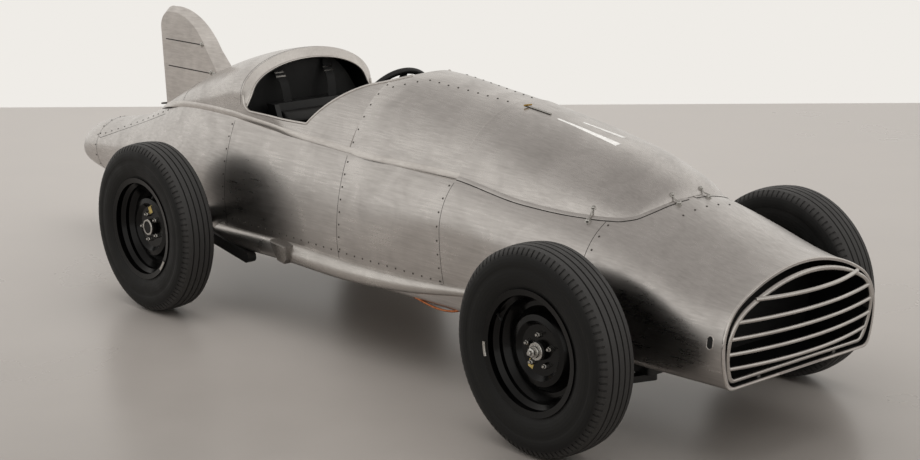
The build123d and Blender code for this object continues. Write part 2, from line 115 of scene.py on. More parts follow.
def aluminium(name, grain, dark, light, rough, lined):
    """Sanded aluminium sheet: streaks along the sanding, cloudy patches, soft mirror image.

    grain is the streak size in millimetres along x, y and z; streaks are drawn coarser than real
    grit so that they show. Where lined is true the faces towards the car's middle are black paint.
    """
    made, tree, shader = new_finish(name, Metallic=1.0)
    coords = add_node(tree, "ShaderNodeTexCoord").outputs["Object"]
    scale = [1 / (size * MM) for size in grain]
    sanding = add_node(tree, "ShaderNodeMapping", {"Vector": coords, "Scale": scale})
    streaks = add_node(
        tree, "ShaderNodeTexNoise",
        {"Vector": sanding.outputs[0], "Scale": 1.0, "Detail": 5.0, "Roughness": 0.65},
    )
    clouds = add_node(
        tree, "ShaderNodeTexNoise",
        {
            "Vector": coords,
            "Scale": 1 / (CLOUD_SIZE * MM),
            "Detail": 4.0,
            "Roughness": 0.6,
            "Distortion": 0.6,
        },
    )
    both = add_node(
        tree, "ShaderNodeMath", {0: streaks.outputs[0], 1: clouds.outputs[0]}, operation="ADD"
    )
    tint = add_node(
        tree, "ShaderNodeMapRange",
        {"Value": both.outputs[0], "From Min": GRAIN_LOW, "From Max": GRAIN_HIGH},
    )
    sheet = add_node(
        tree, "ShaderNodeMix",
        {0: tint.outputs[0], 6: linear(dark), 7: linear(light)}, data_type="RGBA",
    )
    sheen = add_node(
        tree, "ShaderNodeMapRange",
        {
            "Value": both.outputs[0],
            "From Min": GRAIN_LOW,
            "From Max": GRAIN_HIGH,
            "To Min": rough[1],
            "To Max": rough[0],
        },
    )
    relief = add_node(
        tree, "ShaderNodeBump",
        {"Height": streaks.outputs[0], "Strength": 0.05, "Distance": 0.3 * MM},
    )
    colour, roughness = sheet.outputs[2], sheen.outputs[0]
    if lined:
        geometry = add_node(tree, "ShaderNodeNewGeometry")
        place = add_node(tree, "ShaderNodeSeparateXYZ", {0: coords})
        core = add_node(
            tree, "ShaderNodeMapRange",
            {
                "Value": place.outputs[0],
                "From Min": TAIL_X,
                "From Max": LEVEL_X,
                "To Min": TAIL_Z,
                "To Max": LEVEL_Z,
            },
        )
        middle_line = add_node(
            tree, "ShaderNodeCombineXYZ", {0: place.outputs[0], 2: core.outputs[0]}
        )
        arm = add_node(
            tree, "ShaderNodeVectorMath",
            {0: coords, 1: middle_line.outputs[0]}, operation="SUBTRACT",
        )
        facing = add_node(
            tree, "ShaderNodeVectorMath",
            {0: arm.outputs[0], 1: geometry.outputs["True Normal"]}, operation="DOT_PRODUCT",
        )
        outer = add_node(
            tree, "ShaderNodeMath",
            {0: facing.outputs["Value"], 1: INWARD}, operation="GREATER_THAN",
        )
        coat = add_node(
            tree, "ShaderNodeMix",
            {0: outer.outputs[0], 6: linear("#0B0B0B"), 7: colour}, data_type="RGBA",
        )
        matt = add_node(
            tree, "ShaderNodeMix", {0: outer.outputs[0], 2: 0.5, 3: roughness}, data_type="FLOAT"
        )
        colour, roughness = coat.outputs[2], matt.outputs[0]
        tree.links.new(outer.outputs[0], shader.inputs["Metallic"])
    tree.links.new(colour, shader.inputs["Base Color"])
    tree.links.new(roughness, shader.inputs["Roughness"])
    tree.links.new(relief.outputs[0], shader.inputs["Normal"])
    return made


def mottled(name, dark, light, patch, rough, depth, **sockets):
    """Finish with a soft patchy tint and a fine relief of one patch size in millimetres."""
    made, tree, shader = new_finish(name, **sockets)
    coords = add_node(tree, "ShaderNodeTexCoord").outputs["Object"]
    patches = add_node(
        tree, "ShaderNodeTexNoise", {"Vector": coords, "Scale": 1 / (patch * MM), "Detail": 4.0}
    )
    spread = add_node(
        tree, "ShaderNodeMapRange", {"Value": patches.outputs[0], "From Min": 0.35, "From Max": 0.65}
    )
    tint = add_node(
        tree, "ShaderNodeMix",
        {0: spread.outputs[0], 6: linear(dark), 7: linear(light)}, data_type="RGBA",
    )
    gloss = add_node(
        tree, "ShaderNodeMapRange",
        {
            "Value": patches.outputs[0],
            "From Min": 0.3,
            "From Max": 0.7,
            "To Min": rough[0],
            "To Max": rough[1],
        },
    )
    relief = add_node(
        tree, "ShaderNodeBump",
        {"Height": patches.outputs[0], "Strength": 0.3, "Distance": depth * MM},
    )
    tree.links.new(tint.outputs[2], shader.inputs["Base Color"])
    tree.links.new(gloss.outputs[0], shader.inputs["Roughness"])
    tree.links.new(relief.outputs[0], shader.inputs["Normal"])
    return made


# Finishes

# Hand-sanded sheet: grey, with long streaks fore and aft and a blurred image of room and tyres
hull_metal = aluminium("sanded_aluminium_hull", (140, 9, 9), "#B4B0AD", "#CECAC7", (0.24, 0.38), True)
# The upper panels' sheet, sanded finer: the same grey with thinner streaks and a sharper sheen
bonnet_metal = aluminium("sanded_aluminium_bonnet", (160, 7, 7), "#B4B0AD", "#D0CCC9", (0.22, 0.36), True)
# The fin's flat sheet: paler, with short level streaks
fin_metal = aluminium("sanded_aluminium_fin", (60, 60, 8), "#BEB9B5", "#DAD5D1", (0.28, 0.42), False)
# Rolled strip from the mill: its own finish a little brighter, and its colour also painted lighter than the
# panels as a painted highlight, so edges and bands read as light lines
strip_metal = aluminium("bright_aluminium_strip", (40, 6, 6), "#C4BFBB", "#DAD6D2", (0.26, 0.40), False)
# Buffed tube: smooth bright bars with soft highlights along them
tube_metal = aluminium("polished_aluminium_tube", (30, 4, 4), "#B9B5B1", "#D0CCC8", (0.24, 0.36), False)
# Sand casting: dull, darker and slightly grainy
cast_metal = mottled("cast_aluminium", "#7D7975", "#96928E", 6, (0.38, 0.52), 0.3, Metallic=1.0)
# Set rivets: small dark dots with a glint
rivet_metal = mottled("dark_steel_rivet", "#4A4744", "#6B6763", 4, (0.35, 0.5), 0.1, Metallic=1.0)
# Plated fastenings: clean, cool and bright
zinc_metal = mottled("zinc_plated_steel", "#A8A6A2", "#C8C6C2", 5, (0.18, 0.3), 0.05, Metallic=1.0)
# Joints between sheets: thin lines nearly without light; the same dark is also the painted shade of the fin's
# pressed beads and the bolt slot, and the painted shadow under the bonnet's foot
seam_dark = mottled("seam_shadow", "#2B2927", "#3A3735", 10, (0.5, 0.7), 0.1, Metallic=0.6)
# Stoved enamel on pressed steel: deep black with a tight highlight
wheel_enamel = mottled(
    "gloss_black_enamel", "#040404", "#080808", 30, (0.14, 0.22), 0.05, Specular_IOR_Level=0.25
)
# Cast iron drum: matt near black with a faint metal sheen
drum_iron = mottled("drum_cast_iron", "#0E0E0E", "#1A1918", 8, (0.45, 0.6), 0.3, Metallic=0.5)
# Brushed chassis paint: black with a broad soft shine
frame_black = mottled("satin_black_paint", "#0D0D0D", "#151515", 20, (0.38, 0.5), 0.1)
# Sprayed lining: black that gives back little light; it also paints the shade in the nose slots
inner_black = mottled("matt_black_paint", "#080808", "#101010", 25, (0.5, 0.65), 0.2)
# Painted cooling fins: black with a fine rough grain
core_black = mottled("radiator_black", "#0A0A0A", "#141414", 6, (0.5, 0.65), 0.6)
# Drawn pipe: warm red metal, smooth along its length
copper_metal = mottled("drawn_copper", "#A8623E", "#C07A52", 14, (0.22, 0.36), 0.05, Metallic=1.0)
# Bound wheel grip: black with a fine pebbled grain
grip_black = mottled("black_hide", "#0A0A0A", "#141313", 3, (0.42, 0.6), 0.4)
# Seat leather: black, pebbled, with a low sheen on the swells
hide_black = mottled("black_seat_leather", "#0B0B0B", "#161514", 4, (0.42, 0.58), 0.5)
# Brushed paint: flat white, a little uneven
white_paint = mottled("white_brush_paint", "#DCDAD6", "#F0EEEA", 18, (0.4, 0.55), 0.15)
# Printed paper: flat pale yellow
label_yellow = mottled("blank_yellow_label", "#D9BE6A", "#E6CF86", 12, (0.5, 0.6), 0.05)
# Woven webbing: flat black with a fine weave
webbing_black = mottled("black_webbing", "#0C0C0C", "#1A1A1A", 2, (0.7, 0.85), 0.3)
# Dial card under glass: off-white with a smooth shine
glass_white = mottled("dial_white", "#D8D6D0", "#E6E4DE", 12, (0.25, 0.35), 0.05)
# Turned brass: yellow metal with a clear shine
brass_metal = mottled("turned_brass", "#9C7A3A", "#B8954E", 6, (0.2, 0.32), 0.05, Metallic=1.0)

# Sine rate of the raised rings over the section's length, and where the tread turns into the wall
WALL_RINGS = 260.0
TREAD_END, WALL_START = 0.20, 0.24
DUST_SIZE, RUBBER_GRAIN = 60, 4


def tyre_rubber():
    """Moulded rubber: matt near black walls with fine raised rings, and a greyer worn tread.

    The tyre's own map has u once round the wheel and v along the section from bead to bead.
    """
    made, tree, shader = new_finish("moulded_tyre_rubber", Specular_IOR_Level=0.25)
    coords = add_node(tree, "ShaderNodeTexCoord")
    uv = add_node(tree, "ShaderNodeSeparateXYZ", {0: coords.outputs["UV"]})
    rings = add_node(tree, "ShaderNodeMath", {0: uv.outputs[1], 1: WALL_RINGS}, operation="MULTIPLY")
    ring = add_node(tree, "ShaderNodeMath", {0: rings.outputs[0]}, operation="SINE")
    edge = add_node(tree, "ShaderNodeMath", {0: uv.outputs[1], 1: 0.5}, operation="SUBTRACT")
    away = add_node(tree, "ShaderNodeMath", {0: edge.outputs[0]}, operation="ABSOLUTE")
    wall = add_node(
        tree, "ShaderNodeMapRange",
        {"Value": away.outputs[0], "From Min": TREAD_END, "From Max": WALL_START},
    )
    raised = add_node(
        tree, "ShaderNodeMath", {0: ring.outputs[0], 1: wall.outputs[0]}, operation="MULTIPLY"
    )
    dust = add_node(
        tree, "ShaderNodeTexNoise",
        {"Vector": coords.outputs["Object"], "Scale": 1 / (DUST_SIZE * MM), "Detail": 5.0},
    )
    grain = add_node(
        tree, "ShaderNodeTexNoise",
        {"Vector": coords.outputs["Object"], "Scale": 1 / (RUBBER_GRAIN * MM), "Detail": 2.0},
    )
    height = add_node(
        tree, "ShaderNodeMath",
        {0: raised.outputs[0], 1: 0.5, 2: grain.outputs[0]}, operation="MULTIPLY_ADD",
    )
    relief = add_node(
        tree, "ShaderNodeBump",
        {"Height": height.outputs[0], "Strength": 0.35, "Distance": 0.5 * MM},
    )
    spread = add_node(
        tree, "ShaderNodeMapRange", {"Value": dust.outputs[0], "From Min": 0.35, "From Max": 0.7}
    )
    walls = add_node(
        tree, "ShaderNodeMix",
        {0: spread.outputs[0], 6: linear("#131313"), 7: linear("#1D1D1C")}, data_type="RGBA",
    )
    tint = add_node(
        tree, "ShaderNodeMix",
        {0: wall.outputs[0], 6: linear("#3A3938"), 7: walls.outputs[2]}, data_type="RGBA",
    )
    matt = add_node(
        tree, "ShaderNodeMapRange",
        {"Value": dust.outputs[0], "From Min": 0.3, "From Max": 0.7, "To Min": 0.5, "To Max": 0.68},
    )
    tree.links.new(tint.outputs[2], shader.inputs["Base Color"])
    tree.links.new(matt.outputs[0], shader.inputs["Roughness"])
    tree.links.new(relief.outputs[0], shader.inputs["Normal"])
    return made


rubber = tyre_rubber()

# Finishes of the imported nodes
HULL_NAMES = "nose_shell side_panels_front side_panels_mid side_panels_rear undertray tail_shell"
node_finish = {
    hull_metal: HULL_NAMES,
    bonnet_metal: "bonnet cowl cockpit_shell",
    fin_metal: "fin",
    tube_metal: "grille sill_tubes",
    cast_metal: "sill_scoops",
    core_black: "radiator",
    inner_black: "firewall rear_bulkhead dash",
    frame_black: "seat steering_column front_frame front_crossmember front_lower_arms front_upper_arms "
    "knuckle_left knuckle_right track_rod rear_axle rear_arms engine_block",
    grip_black: "steering_wheel",
    copper_metal: "copper_pipe",
    wheel_enamel: "rim_front_left rim_front_right rim_rear_left rim_rear_right",
    drum_iron: "drum_front_left drum_front_right drum_rear_left drum_rear_right",
    rubber: "tyre_front_left tyre_front_right tyre_rear_left tyre_rear_right",
}
for finish, names in node_finish.items():
    for name in names.split():
        nodes[name].data.materials.clear()
        nodes[name].data.materials.append(finish)


# Mesh helpers: a shell is a pair of points in metres and faces; profiles and radii are millimetres

# Directions that set where rings of points start; no axis lies along them
SHELL_START = [0.31, 0.17, 0.93]
TUBE_START = [0.05, 0.13, 1.0]
RIVET_START = [0.21, 0.37, 0.91]


def grid_quads(rows, columns, wrap_rows=False, wrap_columns=False):
    """Quads between neighbouring points of a rows by columns grid, closed round where asked."""
    row, column = np.meshgrid(
        np.arange(rows if wrap_rows else rows - 1),
        np.arange(columns if wrap_columns else columns - 1),
        indexing="ij",
    )
    below, beside = (row + 1) % rows, (column + 1) % columns
    corners = [
        row * columns + column,
        below * columns + column,
        below * columns + beside,
        row * columns + beside,
    ]
    return np.stack(corners, -1).reshape(-1, 4)


def add_piece(name, shell, finish, body, stands_for=(), uv=None, crease=40):
    """Mesh of a shell, its closed parts turned outward, carried by a body.

    finish is the material put on the mesh, and stands_for the nodes that the piece is drawn in place of.
    """
    points, faces = shell
    mesh = bpy.data.meshes.new(name)
    mesh.from_pydata(np.reshape(points, (-1, 3)).tolist(), [], [list(face) for face in faces])
    if uv is not None:
        mesh.uv_layers.new(name="section").data.foreach_set("uv", np.ravel(uv))
    turned = bmesh.new()
    turned.from_mesh(mesh)
    bmesh.ops.recalc_face_normals(turned, faces=turned.faces)
    turned.to_mesh(mesh)
    turned.free()
    mesh.polygons.foreach_set("use_smooth", np.ones(len(mesh.polygons), bool))
    mesh.set_sharp_from_angle(angle=np.radians(crease))
    mesh.materials.append(finish)
    made = bpy.data.objects.new(name, mesh)
    bpy.context.scene.collection.objects.link(made)
    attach(made, body)
    if stands_for:
        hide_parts(*stands_for)
    return made


def joined(parts):
    """Points and faces of several shells as one set, with the face numbers moved up."""
    points, faces, start = [], [], 0
    for part_points, part_faces in parts:
        part_points = np.reshape(part_points, (-1, 3))
        points.append(part_points)
        faces.extend([start + corner for corner in face] for face in part_faces)
        start += len(part_points)
    return np.concatenate(points), faces


def mirrored(points):
    """The same points on the other side of the car."""
    return points * [1, -1, 1]


def on_both_sides(parts):
    """The shells and their mirror images across the car's middle plane."""
    return joined(list(parts) + [(mirrored(points), faces) for points, faces in parts])


def unit(vectors):
    """Vectors scaled to length one."""
    return vectors / np.linalg.norm(vectors, axis=-1, keepdims=True)


def arc(start, through, end, count):
    """Points on the circle through three plane points, evenly by angle from start to end."""
    a, b, c = (complex(*point) for point in (start, through, end))
    w = (c - a) / (b - a)
    centre = (b - a) * (w - abs(w) ** 2) / (2j * w.imag) + a
    turn = np.angle((b - centre) / (a - centre)) + np.angle((c - centre) / (b - centre))
    spots = centre + (a - centre) * np.exp(1j * np.linspace(0, turn, count))
    return np.stack([spots.real, spots.imag], -1)


def ringed(rings):
    """Closed shell over rows of points that each go once round, with a flat face at both ends."""
    count, around = rings.shape[:2]
    faces = grid_quads(count, around, wrap_columns=True).tolist()
    faces += [list(range(around)), list(range((count - 1) * around, count * around))]
    return rings.reshape(-1, 3), faces


def carried(profile, path, across, up):
    """A closed profile carried along a path and closed at both ends.

    Each point is the path point plus the profile's first size along across and its second along up.
    """
    profile = np.asarray(profile, float) * MM
    return ringed(path[:, None] + profile[None, :, :1] * across[:, None] + profile[None, :, 1:] * up[:, None])


def turned_shell(profile, centre, axis, steps):
    """A closed shell turned about an axis: each profile point is a place along it and a radius."""
    profile = np.asarray(profile, float) * MM
    axis = unit(np.asarray(axis, float))
    side = unit(np.cross(axis, SHELL_START))
    over = np.cross(axis, side)
    angle = np.linspace(0, 2 * np.pi, steps, endpoint=False)[:, None, None]
    spoke = np.cos(angle) * side + np.sin(angle) * over
    points = centre + profile[None, :, :1] * axis + profile[None, :, 1:] * spoke
    count = len(profile)
    faces = grid_quads(steps, count, wrap_rows=True).tolist()
    faces += [list(range(0, steps * count, count)), list(range(count - 1, steps * count, count))]
    return points.reshape(-1, 3), faces


def tube(path, radius, sides=10):
    """A round bar along a path; its section stands square to the path's direction."""
    path = np.asarray(path, float)
    along = unit(np.gradient(path, axis=0))
    across = unit(np.cross(along, TUBE_START))
    up = np.cross(across, along)
    angle = np.linspace(0, 2 * np.pi, sides, endpoint=False)
    return carried(radius * np.stack([np.cos(angle), np.sin(angle)], -1), path, across, up)


def film(spots, normals, rows, columns, height, depth=1.5):
    """Closed sheet on a rows by columns grid: one face raised by height, one sunk by depth."""
    number = np.arange(rows * columns).reshape(rows, columns)
    rim = np.concatenate([number[0, :-1], number[:-1, -1], number[-1, :0:-1], number[:0:-1, 0]])
    quads = grid_quads(rows, columns)
    wall = np.stack([rim, np.roll(rim, -1), np.roll(rim, -1) + number.size, rim + number.size], -1)
    points = np.concatenate([spots + normals * height * MM, spots - normals * depth * MM])
    return points, np.concatenate([quads, quads + number.size, wall]).tolist()


# Places on the skin


def skin_of(*pieces):
    """Ray tree over the meshes of some pieces."""
    points, faces, start = [], [], 0
    for piece in pieces:
        mesh = piece.data
        spots = np.empty(3 * len(mesh.vertices))
        mesh.vertices.foreach_get("co", spots)
        mesh.calc_loop_triangles()
        corners = np.empty(3 * len(mesh.loop_triangles), int)
        mesh.loop_triangles.foreach_get("vertices", corners)
        points.append(spots.reshape(-1, 3))
        faces.append(corners.reshape(-1, 3) + start)
        start += len(mesh.vertices)
    return BVHTree.FromPolygons(np.concatenate(points).tolist(), np.concatenate(faces).tolist())


hull_skin = skin_of(*(nodes[name] for name in HULL_NAMES.split()))
DOWN = np.array([0.0, 0.0, -1.0])
LEFTWARD = np.array([0.0, 1.0, 0.0])
# Rays start this far out, in millimetres
CLEAR = 2000


def landed(skin, starts, aims):
    """Where rays first meet a skin, and the outward normals there; rays that miss are left out."""
    hits = [skin.ray_cast(Vector(start), Vector(aim)) for start, aim in zip(starts, aims)]
    spots = np.array([hit[0] for hit in hits if hit[0] is not None])
    normals = np.array([hit[1] for hit in hits if hit[0] is not None])
    aims = np.array([aim for aim, hit in zip(aims, hits) if hit[0] is not None])
    flip = np.sign(-(normals * aims).sum(-1, keepdims=True))
    return spots, normals * flip


def side_line(skin, x, z):
    """Skin points on the car's right side at the given x and z, met from the side."""
    x, z = np.broadcast_arrays(np.asarray(x, float), np.asarray(z, float))
    starts = placed(np.stack([x, np.full_like(x, -CLEAR), z], -1))
    return landed(skin, starts, np.broadcast_to(LEFTWARD, starts.shape))


def section_line(skin, x, angles, centre_z):
    """Skin points round the section at x, met along spokes that turn up from the right side."""
    turn = np.radians(angles)
    spokes = np.stack([np.zeros_like(turn), -np.cos(turn), np.sin(turn)], -1)
    x = np.broadcast_to(np.asarray(x, float), turn.shape)
    middle_line = placed(np.stack([x, np.zeros_like(turn), np.full_like(turn, centre_z)], -1))
    return landed(skin, middle_line + CLEAR * MM * spokes, -spokes)


def from_above(skin, x, y):
    """Skin points at the given x and y, met from straight above."""
    x, y = np.broadcast_arrays(np.asarray(x, float), np.asarray(y, float))
    starts = placed(np.stack([x, y, np.full_like(x, CLEAR)], -1))
    return landed(skin, starts, np.broadcast_to(DOWN, starts.shape))


def eased(x, knots, values):
    """Smooth curve through a table: cubic pieces that have the slope of the neighbours at each knot."""
    order = np.argsort(knots)
    knots, values = np.asarray(knots, float)[order], np.asarray(values, float)[order]
    slopes = np.gradient(values, knots)
    piece = np.clip(np.searchsorted(knots, x) - 1, 0, len(knots) - 2)
    width = knots[piece + 1] - knots[piece]
    t = (x - knots[piece]) / width
    from_start = values[piece] * (1 + 2 * t) + slopes[piece] * width * t
    from_end = values[piece + 1] * (3 - 2 * t) + slopes[piece + 1] * width * (t - 1)
    return from_start * (1 - t) ** 2 + from_end * t**2


def arch_sizes(table, x):
    """Half width, spring height and crown height of an arch table at x."""
    columns = np.array(table, float).T
    return [eased(x, columns[0], column) for column in columns[1:]]


def arch_curve(half, spring, crown, turn):
    """Sides and heights of an arch: y goes as the cosine and z as the sine of the turn, right to left.

    Under the spring line, where the turn is negative, the wall stands upright.
    """
    rise = np.minimum(turn, np.pi - turn)
    y = -np.sign(np.pi / 2 - turn + 1e-9) * half * np.cos(np.maximum(rise, 0))
    z = spring + (crown - spring) * np.where(rise > 0, np.sin(rise), rise)
    return y, z


def arch_points(table, x, turn):
    """Points of the arch sections of a table at x."""
    y, z = arch_curve(*arch_sizes(table, x), turn)
    return np.stack([x + 0 * turn, y, z], -1)


def turn_at(table, x, z):
    """Turn at which the arch section at x has the height z."""
    half, spring, crown = arch_sizes(table, x)
    share = (z - spring) / (crown - spring)
    return np.where(share > 0, np.arcsin(np.clip(share, 0, 1)), share)


def sheet_normals(grid, inside):
    """Normals of a grid by its row and column directions, turned away from an inside point."""
    normals = unit(np.cross(np.gradient(grid, axis=0), np.gradient(grid, axis=1)))
    return normals * np.sign((normals * (grid - inside)).sum(-1, keepdims=True))


REAR_SEAM_X = -1000
seam_level = np.polyfit([440, -300, REAR_SEAM_X], [782, 797, 828], 2)
seam_falling = np.polyfit([REAR_SEAM_X, -1500, -2060], [828, 800, 690], 2)


def seam_z(x):
    """Height of the long seam between hull and upper panels: two parabolas that meet at the rear seam."""
    x = np.asarray(x, float)
    return np.where(x > REAR_SEAM_X, np.polyval(seam_level, x), np.polyval(seam_falling, x))


def strip_along(spots, normals, profile):
    """A flat profile laid along skin points: across is square to the path, up is the skin's normal."""
    along = unit(np.gradient(spots, axis=0))
    normals = unit(normals - (normals * along).sum(-1, keepdims=True) * along)
    return carried(profile, spots, np.cross(along, normals), normals)


def flat_profile(width, height, foot=2):
    """Low trapezium section of a strip whose foot is sunk in the skin."""
    half = width / 2
    right = [(half, -foot), (half, height * 0.5), (half - height, height)]
    left = [(height - half, height), (-half, height * 0.5)]
    return [(-half, -foot)] + right + left


def spaced(spots, normals, pitch):
    """Points a fixed pitch apart along a line of skin points, found by arc length."""
    run = np.concatenate([[0], np.cumsum(np.linalg.norm(np.diff(spots, axis=0), axis=-1))])
    count = max(2, int(run[-1] / (pitch * MM)) + 1)
    marks = np.linspace(0, run[-1], count)
    place = np.stack([np.interp(marks, run, spots[:, k]) for k in range(3)], -1)
    lean = np.stack([np.interp(marks, run, normals[:, k]) for k in range(3)], -1)
    return place, unit(lean)


RIVET_SIDES = 8
RIVET_RADIUS, RIVET_HEIGHT = 4.2, 2.2


def rivet_heads(spots, normals):
    """Domed heads on the skin: rings of points at a sunk foot, a rim and a brow, and a flat crown."""
    angle = np.linspace(0, 2 * np.pi, RIVET_SIDES, endpoint=False)
    ring = np.stack([np.cos(angle), np.sin(angle)], -1) * RIVET_RADIUS
    levels = [(1.0, -1.0), (1.0, 0.25 * RIVET_HEIGHT), (0.72, 0.8 * RIVET_HEIGHT), (0.35, RIVET_HEIGHT)]
    rings = [np.column_stack([ring * share, np.full(RIVET_SIDES, lift)]) for share, lift in levels]
    head = np.concatenate(rings) * MM
    side = unit(np.cross(normals, RIVET_START))
    over = np.cross(normals, side)
    points = (
        spots[:, None]
        + head[None, :, :1] * side[:, None]
        + head[None, :, 1:2] * over[:, None]
        + head[None, :, 2:] * normals[:, None]
    )
    shape = grid_quads(len(levels), RIVET_SIDES, wrap_columns=True)
    ends = np.array([np.arange(RIVET_SIDES), np.arange(len(head) - RIVET_SIDES, len(head))])
    first = np.arange(len(spots))[:, None, None] * len(head)
    faces = (first + shape).reshape(-1, 4).tolist() + (first + ends).reshape(-1, RIVET_SIDES).tolist()
    return points.reshape(-1, 3), faces


# Tyres

TYRE_RADIUS, TYRE_HALF = 365, 81
BEAD_HALF, BEAD_RADIUS = 65, 203
WIDEST_RADIUS = 292
CROWN_HALF, CROWN_DROP = 60, 6
TREAD_HALF = 52
GROOVE_MIDDLES = np.array([-39, -13, 13, 39])
GROOVE_TOP, GROOVE_FOOT, GROOVE_DEPTH = 3.2, 2.5, 7.5
# Slots pressed in the shoulders: number round the tyre, zone by radius and half width, and depths
SLOT_COUNT = 92
SLOT_LOW, SLOT_HIGH, SLOT_INNER = 338, 358.5, 58
SLOT_SIDE_DEPTH, SLOT_TOP_DEPTH = 2.5, 3.5


def tyre_section():
    """Half section from the outer bead over the tread to the inner bead, as places outward and radii.

    Walls, shoulders and crown are arcs; four straight grooves are cut in the crown.
    """
    wall = arc((69, 222), (79.5, 252), (TYRE_HALF, WIDEST_RADIUS), 12)
    shoulder = arc((TYRE_HALF, WIDEST_RADIUS), (76, 338), (CROWN_HALF, TYRE_RADIUS - CROWN_DROP), 16)
    groove = np.array([GROOVE_TOP, GROOVE_FOOT, -GROOVE_FOOT, -GROOVE_TOP])
    steps = (GROOVE_MIDDLES[::-1, None] + groove).ravel()
    across = np.concatenate([[TREAD_HALF], steps, [-TREAD_HALF]])
    crown_radius = (CROWN_HALF**2 + CROWN_DROP**2) / (2 * CROWN_DROP)
    crown = TYRE_RADIUS - crown_radius + np.sqrt(crown_radius**2 - across**2)
    cut = np.abs(across[:, None] - GROOVE_MIDDLES).min(-1) < (GROOVE_TOP + GROOVE_FOOT) / 2
    tread = np.stack([across, crown - GROOVE_DEPTH * cut], -1)
    outer = np.concatenate([wall[:-1], shoulder])
    inner = outer[::-1] * [-1, 1]
    bead = np.array([[BEAD_HALF, BEAD_RADIUS]])
    return np.concatenate([bead, outer, tread, inner, bead * [-1, 1]])


def add_tyre(corner, body, centre, side):
    """Treaded tyre: the section turned round the axle, with slots pressed in the shoulders.

    Angles come in groups of five for each slot pitch; in the slot part the shoulder is moved inward.
    """
    section = tyre_section()
    share = np.array([0.0, 0.03, 0.30, 0.33, 0.66])
    angle = (np.arange(SLOT_COUNT)[:, None] + share).ravel() / SLOT_COUNT * 2 * np.pi
    slot = np.tile([0.0, 1.0, 1.0, 0.0, 0.0], SLOT_COUNT)
    zone = (section[:, 1] > SLOT_LOW) & (section[:, 1] < SLOT_HIGH) & (np.abs(section[:, 0]) > SLOT_INNER)
    depth = slot[:, None] * zone
    outward = section[:, 0] - SLOT_SIDE_DEPTH * depth * np.sign(section[:, 0])
    radius = section[:, 1] - SLOT_TOP_DEPTH * depth
    ring = [radius * np.cos(angle)[:, None], side * outward, radius * np.sin(angle)[:, None]]
    points = np.stack(ring, -1) * MM + centre
    rows, columns = len(angle), len(section)
    faces = grid_quads(rows, columns, wrap_rows=True, wrap_columns=True)
    length = np.concatenate([[0], np.cumsum(np.linalg.norm(np.diff(section, axis=0), axis=-1))])
    along = np.append(length / length[-1], 1.0)
    turn = np.append(angle / (2 * np.pi), 1.0)
    row, column = np.meshgrid(np.arange(rows), np.arange(columns), indexing="ij")
    u = np.stack([turn[row], turn[row + 1], turn[row + 1], turn[row]], -1)
    v = np.stack([along[column], along[column], along[column + 1], along[column + 1]], -1)
    uv = np.stack([u, v], -1).reshape(-1, 2)
    shell = points, faces.tolist()
    add_piece(f"treaded_{corner}", shell, rubber, body, [f"tyre_{corner}"], uv)


# Wheel fittings: turned profiles, each pair a place along the axis and a radius

NUT = [(0, 3), (0, 11), (3, 11.5), (13, 10.5), (16, 8), (17, 3)]
STUD_END = [(10, 2), (10, 5.6), (22, 5.6), (23.5, 4.4), (23.5, 2)]
FRONT_HUB = [(30, 4), (30, 31), (36, 32), (38, 30), (38, 22), (44, 21), (46, 19), (46, 4)]
HUB_NUT = [(44, 4), (44, 17), (58, 17), (60, 14), (60, 4)]
AXLE_END = [(56, 2), (56, 9), (68, 9), (70, 7), (70, 2)]
REAR_HUB = [(30, 4), (30, 34), (36, 35), (38, 33), (38, 27), (33, 26), (33, 4)]
VALVE = [(0, 2), (0, 6), (8, 5.5), (20, 4.2), (21, 4.8), (31, 4.8), (33, 3.6), (33, 1)]
WEIGHT_CLIP = [(-6, -3), (6, -3), (6, 2), (4, 4), (-4, 4), (-6, 2)]
NUT_COUNT, NUT_CIRCLE, NUT_SEAT = 5, 57, 12
VALVE_CIRCLE, VALVE_SEAT, VALVE_AIM = 196, 50, 95
WEIGHT_CIRCLE, WEIGHT_SEAT, WEIGHT_SPAN = 213, 75, 7
LABEL_CIRCLE, LABEL_SEAT, LABEL_LEAN = 72, 13.6, 0.35
LABEL_HALF_LONG, LABEL_HALF_WIDE, LABEL_THICK = 15, 12, 1.2
# Degrees up from forward at which nuts, valve, weight and label sit on front and rear wheels
FRONT_TURNS = (18, 150, 188, 232)
REAR_TURNS = (40, 60, -38, 97)


def on_wheel(centre, side, outward, radius, angle):
    """Point beside a wheel: outward along the axle, at a radius and an angle up from forward."""
    turn = np.radians(angle)
    return centre + np.array([radius * np.cos(turn), side * outward, radius * np.sin(turn)]) * MM


def wheel_label(centre, side, angle):
    """Thin blank label on the wheel disc: a flat grid leaning a little from its spoke."""
    grid = np.linspace(-1, 1, 5)
    a, b = np.meshgrid(grid * LABEL_HALF_LONG, grid * LABEL_HALF_WIDE, indexing="ij")
    spot = np.radians(angle)
    lean = spot + LABEL_LEAN
    x = LABEL_CIRCLE * np.cos(spot) + a * np.cos(lean) - b * np.sin(lean)
    z = LABEL_CIRCLE * np.sin(spot) + a * np.sin(lean) + b * np.cos(lean)
    top = np.stack([x, np.full_like(x, side * LABEL_SEAT), z], -1).reshape(-1, 3) * MM + centre
    return film(top, np.array([0.0, side, 0.0]), *a.shape, 0, LABEL_THICK)


